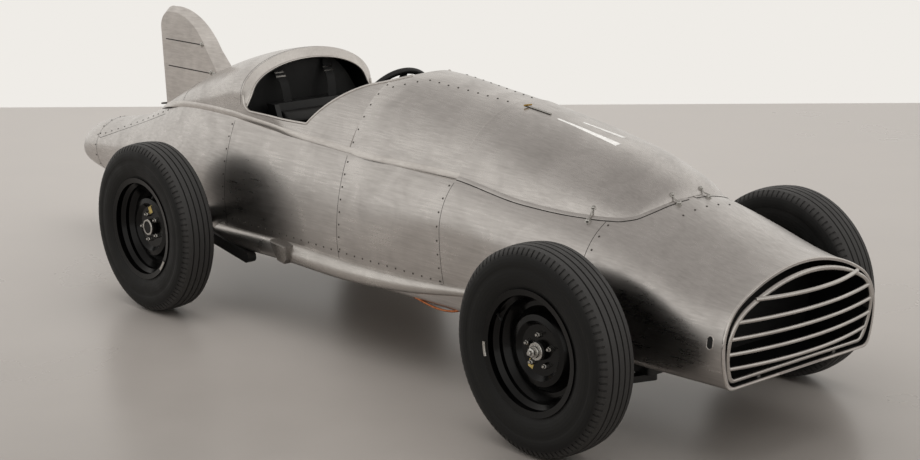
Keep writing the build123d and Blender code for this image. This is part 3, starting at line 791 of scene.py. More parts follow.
def add_wheel_fittings(corner, body, centre, side, front):
    """Nuts, hub end, valve, balance weight and blank label of one wheel."""
    axle = np.array([0.0, side, 0.0])
    nut_turn, valve_turn, weight_turn, label_turn = FRONT_TURNS if front else REAR_TURNS
    nuts = []
    for turn in np.arange(NUT_COUNT) * 360 / NUT_COUNT + nut_turn:
        seat = on_wheel(centre, side, NUT_SEAT, NUT_CIRCLE, turn)
        nuts.append(turned_shell(NUT, seat, axle, 6))
        nuts.append(turned_shell(STUD_END, seat, axle, 12))
    if front:
        nuts.append(turned_shell(FRONT_HUB, centre, axle, 32))
        nuts.append(turned_shell(HUB_NUT, centre, axle, 6))
        nuts.append(turned_shell(AXLE_END, centre, axle, 16))
    else:
        nuts.append(turned_shell(REAR_HUB, centre, axle, 32))
    add_piece(f"nuts_{corner}", joined(nuts), zinc_metal, body)

    stem = on_wheel(centre, side, VALVE_SEAT, VALVE_CIRCLE, valve_turn)
    inward = centre + axle * VALVE_AIM * MM - stem
    add_piece(f"valve_{corner}", turned_shell(VALVE, stem, inward, 10), rubber, body)

    turn = np.radians(np.linspace(-WEIGHT_SPAN, WEIGHT_SPAN, 9) + weight_turn)
    spoke = np.stack([np.cos(turn), np.zeros_like(turn), np.sin(turn)], -1)
    line = centre + spoke * WEIGHT_CIRCLE * MM + axle * WEIGHT_SEAT * MM
    weight = carried(WEIGHT_CLIP, line, spoke, np.broadcast_to(axle, line.shape))
    add_piece(f"weight_{corner}", weight, zinc_metal, body)
    add_piece(f"label_{corner}", wheel_label(centre, side, label_turn), label_yellow, body)


corners = {
    "front_left": (1, True),
    "front_right": (-1, True),
    "rear_left": (1, False),
    "rear_right": (-1, False),
}
for corner, (side, front) in corners.items():
    centre = middle(f"tyre_{corner}")
    add_tyre(corner, f"wheel_{corner}", centre, side)
    add_wheel_fittings(corner, f"wheel_{corner}", centre, side, front)


# Upper panels: sheets on arch tables whose rows give x, half width, spring height and crown height

SHEET = 3.0
FAIRING = [
    (-195, 436, 475, 1093),
    (-450, 394, 640, 1098),
    (-700, 358, 860, 1106),
    (-945, 349, 930, 1104),
    (-1250, 314, 872, 1036),
    (-1550, 250, 812, 922),
    (-1850, 168, 735, 785),
    (-2060, 66, 680, 700),
]
BONNET = [
    (440, 364, 690, 1043),
    (800, 356, 700, 979),
    (1050, 318, 700, 921),
    (1150, 291, 703, 884),
    (1205, 268, 704, 858),
    (1240, 236, 705, 834),
    (1258, 196, 705, 814),
    (1270, 140, 705, 796),
]
HOOP_X, HOOP_SPRING, LIP_Z = -945, 930, 868
# The lip's round corner ends here, and its level stretch is drawn from a little further on
CORNER_END, LIP_START = HOOP_X + 62, HOOP_X + 80
COWL_BACK, FAIRING_END = -195, -2056


def mouth_z(x):
    """Height of the cockpit's edge: round corner at the hoop, level lip, shoulder up to the cowl."""
    corner = arc((HOOP_X, HOOP_SPRING), (HOOP_X + 18, LIP_Z + 18), (CORNER_END, LIP_Z), 20)
    shoulder = arc((-500, LIP_Z), (-385, 985), (-272, 1041), 30)
    brow = arc((-272, 1041), (-150, 1074), (-50, 1110), 12)
    edge = np.concatenate([corner, shoulder, brow[1:]])
    return np.interp(x, edge[:, 0], edge[:, 1])


def add_sheet(name, grid, inside, finish, body, stands_for=()):
    """Closed metal sheet whose outer face is a grid of points, given in millimetres."""
    rows, columns = grid.shape[:2]
    grid = placed(grid)
    normals = sheet_normals(grid, placed(inside))
    sheet = film(grid.reshape(-1, 3), normals.reshape(-1, 3), rows, columns, 0, SHEET)
    return add_piece(name, sheet, finish, body, stands_for)


# Cockpit walls: from just over the long seam up to the cockpit's edge
wall_x = np.concatenate([np.linspace(HOOP_X, CORNER_END, 16), np.linspace(LIP_START, COWL_BACK, 48)])[:, None]
wall_foot = turn_at(FAIRING, wall_x, seam_z(wall_x) + 1)
wall_head = turn_at(FAIRING, wall_x, mouth_z(wall_x))
wall_grid = arch_points(FAIRING, wall_x, wall_foot + (wall_head - wall_foot) * np.linspace(0, 1, 26))
in_cockpit, in_tail, in_bay = [-600, 0, 700], [-1500, 0, 500], [800, 0, 500]
right_wall = add_sheet(
    "cockpit_wall_right", wall_grid, in_cockpit, bonnet_metal, "chassis", ["cockpit_shell"]
)
left_wall = add_sheet("cockpit_wall_left", mirrored(wall_grid), in_cockpit, bonnet_metal, "chassis")

# Head fairing: from seam to seam over the top, narrowing to the tail
head_x = np.linspace(HOOP_X, FAIRING_END, 70)[:, None]
head_foot = turn_at(FAIRING, head_x, seam_z(head_x) + 1)
head_grid = arch_points(FAIRING, head_x, head_foot + (np.pi - 2 * head_foot) * np.linspace(0, 1, 61))
head = add_sheet("head_fairing", head_grid, in_tail, bonnet_metal, "chassis")

# Hoop plate round the fairing's mouth: it leans forward to its inner edge and tapers at its feet
HOOP_WIDTH, HOOP_LEAN, HOOP_TAPER = 42, 16, 0.55
hoop_across = np.linspace(0, 1, 9)[:, None]
half, spring, crown = arch_sizes(FAIRING, HOOP_X)
hoop_start = turn_at(FAIRING, HOOP_X, LIP_Z)
hoop_turn = np.linspace(hoop_start, np.pi - hoop_start, 61)
hoop_rise = np.minimum(hoop_turn, np.pi - hoop_turn)
hoop_ease = np.sin(np.pi / 2 * np.clip((hoop_rise - hoop_start) / HOOP_TAPER, 0.06, 1))
hoop_depth = 1 + HOOP_WIDTH * hoop_across * hoop_ease
hoop_y, hoop_z = arch_curve(half - hoop_depth, spring, crown - hoop_depth, hoop_turn)
hoop_grid = np.stack([HOOP_X + 1 + HOOP_LEAN * hoop_across + 0 * hoop_depth, hoop_y, hoop_z], -1)
add_sheet("hoop_plate", hoop_grid, [-3000, 0, 900], strip_metal, "chassis")

# Bonnet: each section starts where the arch meets the hull, found by halving the turn
BONNET_BACK, TIP_START, TIP_LENGTH = 440.6, 1150, 118.5
HULL_ROOM = 0.6
# A section that only clears the hull past this turn is left out
LAST_TURN = 1.48
tip_x = TIP_START + TIP_LENGTH * np.sin(np.linspace(0.06, np.pi / 2, 26))
bonnet_x = np.concatenate([np.linspace(BONNET_BACK, TIP_START, 44), tip_x])
low, high = np.zeros(len(bonnet_x)), np.full(len(bonnet_x), np.pi / 2)
for halving in range(16):
    turn = (low + high) / 2
    spots = placed(arch_points(BONNET, bonnet_x, turn))
    hits = [hull_skin.ray_cast(Vector(spot + [0, 0, CLEAR * MM]), Vector(DOWN))[0] for spot in spots]
    sunk = np.array([
        hit is not None and hit[2] + HULL_ROOM * MM > spot[2] for hit, spot in zip(hits, spots)
    ])
    low, high = np.where(sunk, turn, low), np.where(sunk, high, turn)
standing = high < LAST_TURN
bonnet_x, foot_turn = bonnet_x[standing, None], high[standing, None]
bonnet_turn = foot_turn + (np.pi - 2 * foot_turn) * np.linspace(0, 1, 57)
bonnet_grid = arch_points(BONNET, bonnet_x, bonnet_turn)
bonnet = add_sheet("bonnet_sheet", bonnet_grid, in_bay, bonnet_metal, "bonnet", ["bonnet"])
foot_line = bonnet_grid[:, 0]

fairing_skin = skin_of(right_wall, left_wall, head)
bonnet_skin = skin_of(bonnet)
upper_skin = skin_of(nodes["cowl"], right_wall, left_wall, head, bonnet)

# Fin: a flat face on each side and a bevel out to the rim on the middle plane, its foot in the fairing
FIN_HALF = 22
FIN_RIM = [
    (-2082, 1115), (-2050, 1172), (-1976, 1194), (-1807, 1173), (-1602, 1023), (-1555, 980), (-1500, 930),
]
FIN_FACE = [
    (-2080, 1092), (-2054, 1146), (-1985, 1167), (-1835, 1137), (-1715, 1035), (-1645, 950), (-1560, 850),
]
FIN_FRONT_FOOT, FIN_BACK_FOOT = 790, (-2050, 640)


def fin_outline(edge):
    """Closed side outline through the edge points: three arcs along the top, lines through the foot."""
    heel, crest_bow, crest, brow_bow, brow, lead_bow, lead = edge
    crest_arc = arc(heel, crest_bow, crest, 12)
    brow_arc = arc(crest, brow_bow, brow, 24)
    lead_arc = arc(brow, lead_bow, lead, 8)
    foot = [(lead[0], FIN_FRONT_FOOT), FIN_BACK_FOOT]
    return np.concatenate([crest_arc, brow_arc[1:], lead_arc[1:], foot])


fin_layers = ((FIN_FACE, -FIN_HALF), (FIN_RIM, 0), (FIN_FACE, FIN_HALF))
fin_loops = np.stack([np.insert(fin_outline(edge), 1, y, axis=1) for edge, y in fin_layers])
add_piece(
    "bevelled_fin", ringed(placed(fin_loops)), fin_metal, "chassis", ["fin"], crease=12
)

# Sill fairings: rounds that taper forward; rows give x, y, z and radius
SILL = np.array([
    (-1060, -403, 320, 44),
    (-560, -412, 336, 45),
    (-130, -416, 334, 43),
    (214, -422, 351, 32),
    (580, -428, 392, 16),
], float)
sill_x = np.linspace(SILL[0, 0], SILL[-1, 0], 50)[:, None]
sill_y, sill_z, sill_r = (eased(sill_x, SILL[:, 0], SILL[:, k]) for k in (1, 2, 3))
angle = np.linspace(0, 2 * np.pi, 24, endpoint=False)
sill_rings = np.stack([
    sill_x + 0 * angle,
    sill_y + sill_r * np.cos(angle),
    sill_z + sill_r * np.sin(angle),
], -1)
sills = on_both_sides([ringed(placed(sill_rings))])
add_piece("sill_rounds", sills, tube_metal, "chassis", ["sill_tubes"])

# Cast scoop on each sill: a side outline drawn in towards its outer face
SCOOP_OUTLINE = np.array([
    (-602, 384), (-596, 366), (-548, 304), (-506, 298), (-487, 318), (-487, 374),
], float)
SCOOP_LAYERS = ((1.0, -422), (1.0, -468), (0.94, -475), (0.82, -478))
scoop_middle = SCOOP_OUTLINE.mean(0)
scoop_loops = np.stack([
    np.insert(scoop_middle + (SCOOP_OUTLINE - scoop_middle) * grow, 1, y, axis=1) for grow, y in SCOOP_LAYERS
])
scoops = on_both_sides([ringed(placed(scoop_loops))])
add_piece("cast_scoops", scoops, cast_metal, "chassis", ["sill_scoops"], crease=30)

# Copper pipe in a bow under the right sill
PIPE = np.array([
    (130, -390, 316), (253, -397, 296), (400, -397, 282), (475, -394, 293), (535, -388, 320),
], float)
PIPE_RADIUS = 4.5
pipe_x = np.linspace(PIPE[0, 0], PIPE[-1, 0], 40)
pipe_run = np.stack([pipe_x] + [eased(pipe_x, PIPE[:, 0], PIPE[:, k]) for k in (1, 2)], -1)
pipe = tube(placed(pipe_run), PIPE_RADIUS)
add_piece("bowed_copper_pipe", pipe, copper_metal, "chassis", ["copper_pipe"])

# Strip along the long seam
STRIP_RISE, STRIP_WIDTH, STRIP_HEIGHT = 13, 26, 2.4
long_x = np.linspace(438, -1960, 90)
flange = side_line(upper_skin, long_x, seam_z(long_x) + STRIP_RISE)
flange_strip = strip_along(*flange, flat_profile(STRIP_WIDTH, STRIP_HEIGHT))
add_piece("seam_strip", on_both_sides([flange_strip]), strip_metal, "chassis")

# Joints between sheets, and a painted shadow line at the bonnet's foot: thin dark lines; rows give x, the
# skin, turns up from the side and spoke height
JOINTS = (
    (-1000, hull_skin, -25, 40, 520),
    (-195, hull_skin, -25, 40, 520),
    (440, hull_skin, -25, 30, 560),
    (1150, hull_skin, -30, 34, 540),
    (-2500, hull_skin, -60, 90, 460),
    (-958, fairing_skin, 0, 90, 890),
    (-1560, fairing_skin, 8, 60, 790),
)
SEAM = flat_profile(2.2, 0.5)
TAIL_SEAM = flat_profile(2.4, 0.6)
FOOT_SHADOW_LINE = [(13.5, -2), (16, -2), (16, 0.5), (13.5, 0.5)]
seams = []
for x, skin, first, last, height in JOINTS:
    line = section_line(skin, x, np.linspace(first, last, 40), height)
    seams.append(strip_along(*line, SEAM))
tail_x = np.linspace(-1760, -2490, 30)
tail_z = np.interp(tail_x, [-2465, -1648], [512, 765])
seams.append(strip_along(*side_line(hull_skin, tail_x, tail_z), TAIL_SEAM))
# Thin dark line just past the bonnet flange's edge on the hull: a painted shadow under the flange
bonnet_foot = from_above(hull_skin, foot_line[:, 0], foot_line[:, 1] - SHEET)
seams.append(strip_along(*bonnet_foot, FOOT_SHADOW_LINE))
add_piece("panel_seams_and_foot_shadow", on_both_sides(seams), seam_dark, "chassis")

# Foot flange of the bonnet, and the lap over the cowl
FLANGE = [(-3, 0.4), (13, 0.4), (13, 1.4), (11.8, 2.2), (-3, 2.2)]
foot_lap = strip_along(*bonnet_foot, FLANGE)
add_piece("bonnet_flange", on_both_sides([foot_lap]), bonnet_metal, "bonnet")
cowl_front = section_line(upper_skin, 436, np.linspace(31, 90, 40), 600)
cowl_lap = strip_along(*cowl_front, flat_profile(4, 0.6))
add_piece("cowl_lap", on_both_sides([cowl_lap]), strip_metal, "chassis")

# Rivet rows round a section: the same columns as the joints, with the pitch
RIVET_ROWS = (
    (-1014, hull_skin, -20, 38, 520, 52),
    (-181, hull_skin, -20, 38, 520, 50),
    (426, hull_skin, -20, 28, 560, 52),
    (1168, hull_skin, -22, 32, 540, 54),
    (1345, hull_skin, 62, 90, 540, 46),
    (-181, upper_skin, 38, 70, 560, 52),
    (-2514, hull_skin, -50, 85, 460, 50),
)
# Rivets across the cowl's top run on a bent line of x and y
COWL_ROW_X = [-135, -94, -56, -10, 74, 147, 229, 317, 395]
COWL_ROW_Y = [-185, -163, -133, -97, -94, -86, -77, -71, -63]
SILL_ROW_Z, TAIL_ROW_RISE = 404, 16
STRIP_PITCH, TAIL_PITCH, COWL_PITCH, SILL_PITCH = 47, 62, 48, 50
rows = []
for x, skin, first, last, height, pitch in RIVET_ROWS:
    rows.append(spaced(*section_line(skin, x, np.linspace(first, last, 40), height), pitch))
rows.append(spaced(*flange, STRIP_PITCH))
rows.append(spaced(*side_line(hull_skin, tail_x, tail_z + TAIL_ROW_RISE), TAIL_PITCH))
cowl_x = np.linspace(-135, 400, 40)
cowl_y = np.interp(cowl_x, COWL_ROW_X, COWL_ROW_Y)
rows.append(spaced(*from_above(upper_skin, cowl_x, cowl_y), COWL_PITCH))
rows.append(spaced(*side_line(hull_skin, np.linspace(-950, 420, 60), SILL_ROW_Z), SILL_PITCH))
row_spots, row_normals = (np.concatenate(parts) for parts in zip(*rows))
rivets = rivet_heads(
    np.concatenate([row_spots, mirrored(row_spots)]), np.concatenate([row_normals, mirrored(row_normals)])
)
add_piece("rivets", rivets, rivet_metal, "chassis")

# Fin: two pressed beads, drawn as thin dark strips that are painted shade, and turn fasteners on each side;
# bead rows give back, front and height
FIN_BEADS = ((-2040, -1752, 1035), (-2026, -1665, 908))
FIN_STUDS = ((-1640, 906), (-1665, 912), (-1735, 1036))
STUD = [(-2, 3), (-2, 13), (1.5, 13), (3, 11), (3, 7), (7, 6.5), (8.5, 4.5), (8.5, 1.5)]
beads = []
for back, front, height in FIN_BEADS:
    run = placed(np.stack([np.linspace(back, front, 8), np.full(8, -FIN_HALF), np.full(8, height)], -1))
    beads.append(strip_along(run, np.broadcast_to(-LEFTWARD, run.shape), flat_profile(5, 1.2)))
# Dark strips: painted shade of the pressed beads
add_piece("fin_beads", on_both_sides(beads), seam_dark, "chassis")
studs = [turned_shell(STUD, placed([x, -FIN_HALF, z]), -LEFTWARD, 18) for x, z in FIN_STUDS]
add_piece("fin_studs", on_both_sides(studs), zinc_metal, "chassis")

# Tie-down eye at the foot of the fin's back edge: an oval ring on a short shank
EYE_X, EYE_Z = -2108, 712
EYE_HALF_LONG, EYE_HALF_WIDE, EYE_TILT = 22, 13, 3
EYE_BAR, SHANK_BAR = 4, 5
eye_turn = np.linspace(-0.5 * np.pi, 1.5 * np.pi, 25)[:-1]
eye = np.stack([
    EYE_X + EYE_HALF_LONG * np.cos(eye_turn),
    EYE_HALF_WIDE * np.sin(eye_turn),
    EYE_Z + EYE_TILT * np.cos(eye_turn),
], -1)
SHANK = [(-2060, 0, 690), (-2075, 0, 702), (-2090, 0, 712)]
eye_parts = [tube(placed(np.vstack([eye, eye[:1]])), EYE_BAR), tube(placed(SHANK), SHANK_BAR)]
add_piece("tail_eye", joined(eye_parts), rivet_metal, "chassis")

# Bonnet catches: a sprung dome on the hull and a hooked tongue on the bonnet at each place
CATCH_PLACES = (1089, 1262)
DOME = np.array([(-2, 2), (-2, 12), (2, 12), (3, 9), (8, 8.5), (11, 7), (12.5, 4), (12.8, 1)])
DOME_OUT, TONGUE_IN, TONGUE_RADIUS = 22, 14, 2.6
domes, tongues = [], []
for catch_x in CATCH_PLACES:
    row = np.abs(foot_line[:, 0] - catch_x).argmin()
    spot, normal = (part[row] for part in bonnet_foot)
    run = foot_line[row + 1] - foot_line[row - 1]
    away = unit(np.array([run[1], -run[0], 0.0]))
    base, lean = from_above(hull_skin, *unplaced(spot + away * DOME_OUT * MM)[:2, None])
    crest, up = from_above(bonnet_skin, *unplaced(spot - away * TONGUE_IN * MM)[:2, None])
    domes.append(turned_shell(DOME, base[0], lean[0], 16))
    bends = np.array([crest[0] + up[0] * 2 * MM, spot + normal * 9 * MM, base[0] + lean[0] * 11 * MM])
    path = np.stack([np.interp(np.linspace(0, 2, 9), range(3), bends[:, k]) for k in range(3)], -1)
    tongues.append(tube(path, TONGUE_RADIUS))
    tongues.append(turned_shell(DOME * 0.8, crest[0], up[0], 12))
add_piece("catch_domes", on_both_sides(domes), zinc_metal, "chassis")
add_piece("catch_tongues", on_both_sides(tongues), zinc_metal, "bonnet")

# Sliding bolt in a slot on top of the bonnet, with a brass pin across it; the slot is a thin dark strip,
# painted shade in the opening
BOLT_WIDTH, ROD_RADIUS, ROD_RAISE = 11, 3.4, 3
PIN_HALF, PIN_RADIUS, PIN_RAISE, PIN_AIM = 17, 3.2, 7, [0.2, 0.98, 0.0]
bolt_spots, bolt_normals = from_above(bonnet_skin, np.linspace(484, 610, 10), np.linspace(-53, -39, 10))
bolt_slot = strip_along(bolt_spots, bolt_normals, flat_profile(BOLT_WIDTH, 0.7))
add_piece("bolt_slot", bolt_slot, seam_dark, "bonnet")
bolt_rod = tube(bolt_spots[1:] + bolt_normals[1:] * ROD_RAISE * MM, ROD_RADIUS)
add_piece("bolt_rod", bolt_rod, zinc_metal, "bonnet")
pin_middle = bolt_spots[1] + bolt_normals[1] * PIN_RAISE * MM
pin_line = pin_middle + np.outer(np.linspace(-1, 1, 5), PIN_AIM) * PIN_HALF * MM
add_piece("bolt_pin", tube(pin_line, PIN_RADIUS), brass_metal, "bonnet")

# Two plain white strokes brushed on the bonnet: start x and y, end x and y, and the two widths
STROKES = ((655, -47, 952, -35, 9, 30), (731, 10, 905, 44, 9, 22))
strokes = []
for start_x, start_y, end_x, end_y, start_width, end_width in STROKES:
    along, across = np.meshgrid(np.linspace(0, 1, 30), np.linspace(-0.5, 0.5, 5), indexing="ij")
    width = start_width + (end_width - start_width) * along
    x = start_x + (end_x - start_x) * along
    y = start_y + (end_y - start_y) * along + across * width
    strokes.append(film(*from_above(bonnet_skin, x.ravel(), y.ravel()), *along.shape, 0.5))
add_piece("white_strokes", joined(strokes), white_paint, "bonnet")

# Rolled edges of the cockpit and the head hoop
ROLL_SINK, ROLL_SIDES = 3, 12
LIP_ROLL, HOOP_ROLL, NOSE_ROLL, SLOT_ROLL = 5.5, 5, 5, 2.4
lip_x = np.concatenate([np.linspace(HOOP_X, CORNER_END, 12), np.linspace(LIP_START, -118, 50)])
lip, lean = side_line(upper_skin, lip_x, mouth_z(lip_x) - ROLL_SINK)
lip_roll = tube(lip - lean * ROLL_SINK * MM + [0, 0, ROLL_SINK * MM], LIP_ROLL, ROLL_SIDES)
add_piece("cockpit_roll", on_both_sides([lip_roll]), strip_metal, "chassis")
hoop_roll = tube(placed(hoop_grid[-1, :31]), HOOP_ROLL, ROLL_SIDES)
add_piece("hoop_roll", on_both_sides([hoop_roll]), strip_metal, "chassis")

# Rolled nose rim, and an upright slot with a rolled edge on each side of the nose; the slot is a black film
# on the skin, painted shade in the opening
NOSE_X = 1771
SLOT_X, SLOT_Z, SLOT_RADIUS, SLOT_STRAIGHT = 1721, 457, 12, 10
rim, lean = section_line(hull_skin, NOSE_X, np.linspace(-52, 90, 60), 440)
nose_roll = tube(rim - lean * ROLL_SINK * MM, NOSE_ROLL, ROLL_SIDES)
turn = np.linspace(0, 2 * np.pi, 33) + 0.1
slot_x = SLOT_X + SLOT_RADIUS * np.cos(turn)
slot_z = SLOT_Z + SLOT_RADIUS * np.sin(turn) + SLOT_STRAIGHT * np.sign(np.sin(turn))
slot_rim, _ = side_line(hull_skin, slot_x, slot_z)
oval = np.linspace(0.02, 1, 6)[:, None]
oval_x = SLOT_X + (slot_x - SLOT_X) * oval
oval_z = SLOT_Z + (slot_z - SLOT_Z) * oval
ovals = film(*side_line(hull_skin, oval_x.ravel(), oval_z.ravel()), *oval_x.shape, 1.6)
add_piece("nose_slots", on_both_sides([ovals]), inner_black, "chassis")
nose_rolls = on_both_sides([nose_roll, tube(slot_rim, SLOT_ROLL)])
add_piece("nose_rolls", nose_rolls, strip_metal, "chassis")


# Seat pads: leather pads on the bucket; rows across the pad swell between stitched channels

EDGE_POWER, EDGE_ROUND = 6, 0.35
CHANNEL_SHARP, CHANNEL_DEPTH, PAD_SINK = 9, 0.35, 2


def add_pad(name, start, end, half_width, thick, channels):
    """Pad along a line in the middle plane: an oval swell, cut by channels and pinched at its edges.

    The upper face stands off by thick times the swell; the swell falls off as the sixth power of the
    place across and along, and each channel is a narrow bell-shaped dip. The under face is flat.
    """
    along, across = np.meshgrid(np.linspace(-1, 1, 61), np.linspace(-1, 1, 49), indexing="ij")
    run = np.array([end[0] - start[0], 0.0, end[1] - start[1]])
    out = unit(np.array([-run[2], 0.0, run[0]]))
    swell = ((1 - np.abs(along) ** EDGE_POWER) * (1 - np.abs(across) ** EDGE_POWER)) ** EDGE_ROUND
    place = (along + 1) / 2 * channels
    nearest = np.round(place)
    dips = np.exp(-(((place - nearest) * CHANNEL_SHARP) ** 2)) * (nearest > 0) * (nearest < channels)
    lift = thick * swell * (1 - CHANNEL_DEPTH * dips)
    line = np.array([start[0], 0.0, start[1]]) + (along[..., None] + 1) / 2 * run
    base = placed(line + across[..., None] * LEFTWARD * half_width)
    pad = film(base.reshape(-1, 3), out, *along.shape, lift.reshape(-1, 1), PAD_SINK)
    made = add_piece(name, pad, hide_black, "chassis")


add_pad("seat_base_pad", (-790, 380), (-425, 397), 180, 46, 5)
add_pad("seat_back_pad", (-896, 850), (-812, 420), 178, 44, 7)

# Shoulder harness: two flat webbing straps from the bulkhead to the seat back, with buckle bars
STRAP_X = [-990, -984, -968, -950, -940, -934, -930]
STRAP_Z = [1040, 1012, 985, 962, 930, 890, 845]
STRAP_APART, STRAP_CLOSING = 136, 3
WEBBING = [(-22, -1.2), (22, -1.2), (22, 1.2), (-22, 1.2)]
BUCKLE_BAR = [(-24, -4), (24, -4), (26, -2), (26, 2), (24, 4), (-24, 4), (-26, 2), (-26, -2)]
BUCKLE_ROWS = (9, 13)
knots = np.arange(len(STRAP_X))
strap_t = np.linspace(0, knots[-1], 40)
strap_x, strap_z = (eased(strap_t, knots, places) for places in (STRAP_X, STRAP_Z))
straps, buckles = [], []
for side in (1, -1):
    line = placed(np.stack([strap_x, side * (STRAP_APART - STRAP_CLOSING * strap_t), strap_z], -1))
    run = unit(np.gradient(line, axis=0))
    across = np.broadcast_to(LEFTWARD, line.shape)
    face = unit(np.cross(across, run))
    straps.append(carried(WEBBING, line, across, face))
    for row in BUCKLE_ROWS:
        bar = line[row] + np.outer(np.linspace(-4, 4, 3) * MM, run[row])
        buckles.append(carried(BUCKLE_BAR, bar, np.tile(across[row], (3, 1)), np.tile(face[row], (3, 1))))
add_piece("harness_straps", joined(straps), webbing_black, "chassis")
add_piece("harness_buckles", joined(buckles), zinc_metal, "chassis")

# Dash dials: a bright bezel, a pale face with plain ticks, and a hand; rows give y, z and radius
DIALS = ((-120, 985, 38), (0, 1005, 46), (120, 985, 38))
DIAL_X = -113
BACKWARD = np.array([-1.0, 0.0, 0.0])
bezels, dial_faces, ticks = [], [], []
for y, z, radius in DIALS:
    dial = placed([DIAL_X, y, z])
    ring = [(0, radius - 7), (0, radius), (7, radius), (9, radius - 2), (9, radius - 5), (6, radius - 7)]
    bezels.append(turned_shell(ring, dial, BACKWARD, 40))
    card = [(0, 1), (0, radius - 5), (4, radius - 5), (4, 1)]
    dial_faces.append(turned_shell(card, dial, BACKWARD, 32))
    for turn in np.radians(np.linspace(-45, 225, 13)):
        spoke = np.array([0.0, np.cos(turn), np.sin(turn)])
        tick = dial + BACKWARD * 4 * MM + np.outer([radius * 0.62, radius * 0.8], spoke) * MM
        ticks.append(tube(tick, 0.9, 6))
    hand = dial + BACKWARD * 5 * MM + np.outer([-6, radius * 0.6], [0.0, -0.6, 0.8]) * MM
    ticks.append(tube(hand, 1.3, 6))
add_piece("dial_bezels", joined(bezels), zinc_metal, "chassis")
add_piece("dial_faces", joined(dial_faces), glass_white, "chassis")
add_piece("dial_ticks", joined(ticks), inner_black, "chassis")

# Camera place and aim, which also set the floor's direction
YAW, PITCH, ROLL = np.radians([138.5514, 13.7168, -0.286])
LENS, SENSOR = 71.13, 36.0
camera_spot = placed([5381.6, -4707.44, 2199.86])
ahead = np.array([np.cos(YAW), np.sin(YAW), 0.0])
right = np.array([np.sin(YAW), -np.cos(YAW), 0.0])

# Reach of the floor from the camera's foot in metres, and the metres over which its painted light falloff
# lightens it
FLOOR_NEAR, FLOOR_FAR, FLOOR_HALF = -14.0, 12.75, 26.0
FLOOR_DARK, FLOOR_LIGHT = -2.5, 6.5
STAIN_SCALE, STAIN_WANDER = 0.9, 3.0


def floor_paint():
    """Painted concrete: grey with worn patches and a dim mirror image; its colour also lightens away from the
    camera, a painted light falloff.
    """
    made, tree, shader = new_finish("grey_floor_paint", Specular_IOR_Level=0.4)
    coords = add_node(tree, "ShaderNodeTexCoord").outputs["Object"]
    stains = add_node(
        tree, "ShaderNodeTexNoise",
        {"Vector": coords, "Scale": STAIN_SCALE, "Detail": 6.0, "Roughness": 0.55},
    )
    # Distance from the camera lightens the colour: painted light falloff, added to the worn stains
    away = add_node(tree, "ShaderNodeVectorMath", {0: coords, 1: tuple(ahead)}, operation="DOT_PRODUCT")
    worn = add_node(
        tree, "ShaderNodeMath",
        {0: stains.outputs[0], 1: STAIN_WANDER, 2: away.outputs["Value"]}, operation="MULTIPLY_ADD",
    )
    spread = add_node(
        tree, "ShaderNodeMapRange",
        {"Value": worn.outputs[0], "From Min": FLOOR_DARK, "From Max": FLOOR_LIGHT},
    )
    tint = add_node(
        tree, "ShaderNodeMix",
        {0: spread.outputs[0], 6: linear("#88827C"), 7: linear("#D0C9C3")}, data_type="RGBA",
    )
    gloss = add_node(
        tree, "ShaderNodeMapRange", {"Value": stains.outputs[0], "To Min": 0.22, "To Max": 0.36}
    )
    tree.links.new(tint.outputs[2], shader.inputs["Base Color"])
    tree.links.new(gloss.outputs[0], shader.inputs["Roughness"])
    return made


def add_floor():
    """Flat floor in the camera's direction, ending where the wall begins."""
    foot = camera_spot * [1, 1, 0]
    reaches = ((FLOOR_NEAR, -1), (FLOOR_NEAR, 1), (FLOOR_FAR, 1), (FLOOR_FAR, -1))
    points = [foot + ahead * reach + right * side * FLOOR_HALF for reach, side in reaches]
    mesh = bpy.data.meshes.new("studio_floor")
    mesh.from_pydata(np.array(points).tolist(), [], [(0, 1, 2, 3)])
    mesh.materials.append(floor_paint())
    floor = bpy.data.objects.new("studio_floor", mesh)
    bpy.context.scene.collection.objects.link(floor)


# Sines of the elevation between which the room as mirrored in metal goes from wall to ceiling
WALL_TOP, CEILING_START = 0.5, 0.85
WALL_COLOUR, CEILING_COLOUR, FILL_COLOUR = "#EFECE7", "#B8B4B0", "#F2EFEB"
FILL_STRENGTH = 0.55


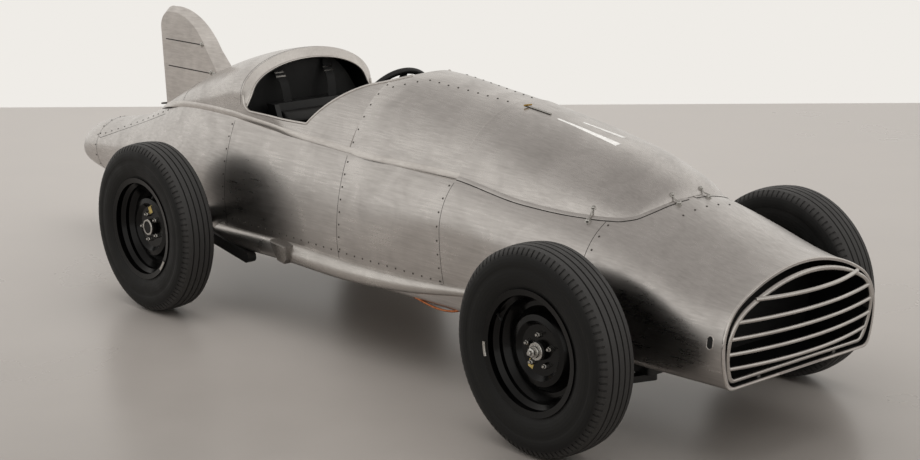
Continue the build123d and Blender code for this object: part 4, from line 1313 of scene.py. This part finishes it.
def add_room():
    """White room: plain to the eye, with a greyer ceiling in mirror images, and weaker as a light."""
    world = bpy.data.worlds.new("studio")
    bpy.context.scene.world = world
    world.use_nodes = True
    tree = world.node_tree
    tree.nodes.clear()
    ray = add_node(tree, "ShaderNodeLightPath").outputs
    direct = add_node(
        tree, "ShaderNodeMath", {0: ray["Is Camera Ray"], 1: ray["Is Glossy Ray"]}, operation="MAXIMUM"
    )
    seen = add_node(
        tree, "ShaderNodeMath", {0: direct.outputs[0], 1: ray["Is Transmission Ray"]}, operation="MAXIMUM"
    )
    coords = add_node(tree, "ShaderNodeTexCoord")
    aim = add_node(tree, "ShaderNodeSeparateXYZ", {0: coords.outputs["Generated"]})
    height = add_node(
        tree, "ShaderNodeMapRange",
        {"Value": aim.outputs[2], "From Min": WALL_TOP, "From Max": CEILING_START},
    )
    mirror_image = add_node(
        tree, "ShaderNodeMix",
        {0: height.outputs[0], 6: linear(WALL_COLOUR), 7: linear(CEILING_COLOUR)}, data_type="RGBA",
    )
    colour = add_node(
        tree, "ShaderNodeMix",
        {0: ray["Is Glossy Ray"], 6: linear(WALL_COLOUR), 7: mirror_image.outputs[2]}, data_type="RGBA",
    )
    wall = add_node(tree, "ShaderNodeBackground", {"Color": colour.outputs[2], "Strength": 1.0})
    fill = add_node(
        tree, "ShaderNodeBackground", {"Color": linear(FILL_COLOUR), "Strength": FILL_STRENGTH}
    )
    mix = add_node(tree, "ShaderNodeMixShader", {0: seen.outputs[0], 1: fill.outputs[0], 2: wall.outputs[0]})
    add_node(tree, "ShaderNodeOutputWorld", {0: mix.outputs[0]})


def add_softbox(name, spot, aim, size, power):
    """Studio light at a spot, facing a point; places and sizes in metres, power in watts."""
    lamp = bpy.data.lights.new(name, "AREA")
    lamp.shape = "RECTANGLE"
    lamp.size, lamp.size_y = size
    lamp.energy = power
    made = bpy.data.objects.new(name, lamp)
    made.location = spot
    made.rotation_euler = (Vector(aim) - Vector(spot)).to_track_quat("-Z", "Y").to_euler()
    made.visible_glossy = False
    bpy.context.scene.collection.objects.link(made)


def add_camera():
    """Camera at the photograph's place: yaw round the up axis, pitch down, then roll about the view."""
    lens = bpy.data.cameras.new("photo_view")
    lens.lens = LENS
    lens.sensor_width = SENSOR
    lens.sensor_fit = "HORIZONTAL"
    gaze = ahead * np.cos(PITCH) - np.array([0, 0, np.sin(PITCH)])
    up = np.cross(right, gaze)
    view_right = np.cos(ROLL) * right + np.sin(ROLL) * up
    view_up = np.cos(ROLL) * up - np.sin(ROLL) * right
    pose = np.eye(4)
    pose[:3] = np.stack([view_right, view_up, -gaze, camera_spot], -1)
    camera = bpy.data.objects.new("photo_view", lens)
    camera.matrix_world = Matrix(pose.tolist())
    bpy.context.scene.collection.objects.link(camera)
    bpy.context.scene.camera = camera


add_floor()
add_room()
add_softbox("ceiling_softbox", (0.3, -0.6, 5.6), (0, 0, 0.4), (9.5, 7.5), 260)
add_softbox("front_softbox", (6.5, 1.0, 4.2), (0.8, 0, 0.6), (5.0, 4.0), 60)
add_camera()
bpy.context.scene.view_settings.view_transform = "Standard"
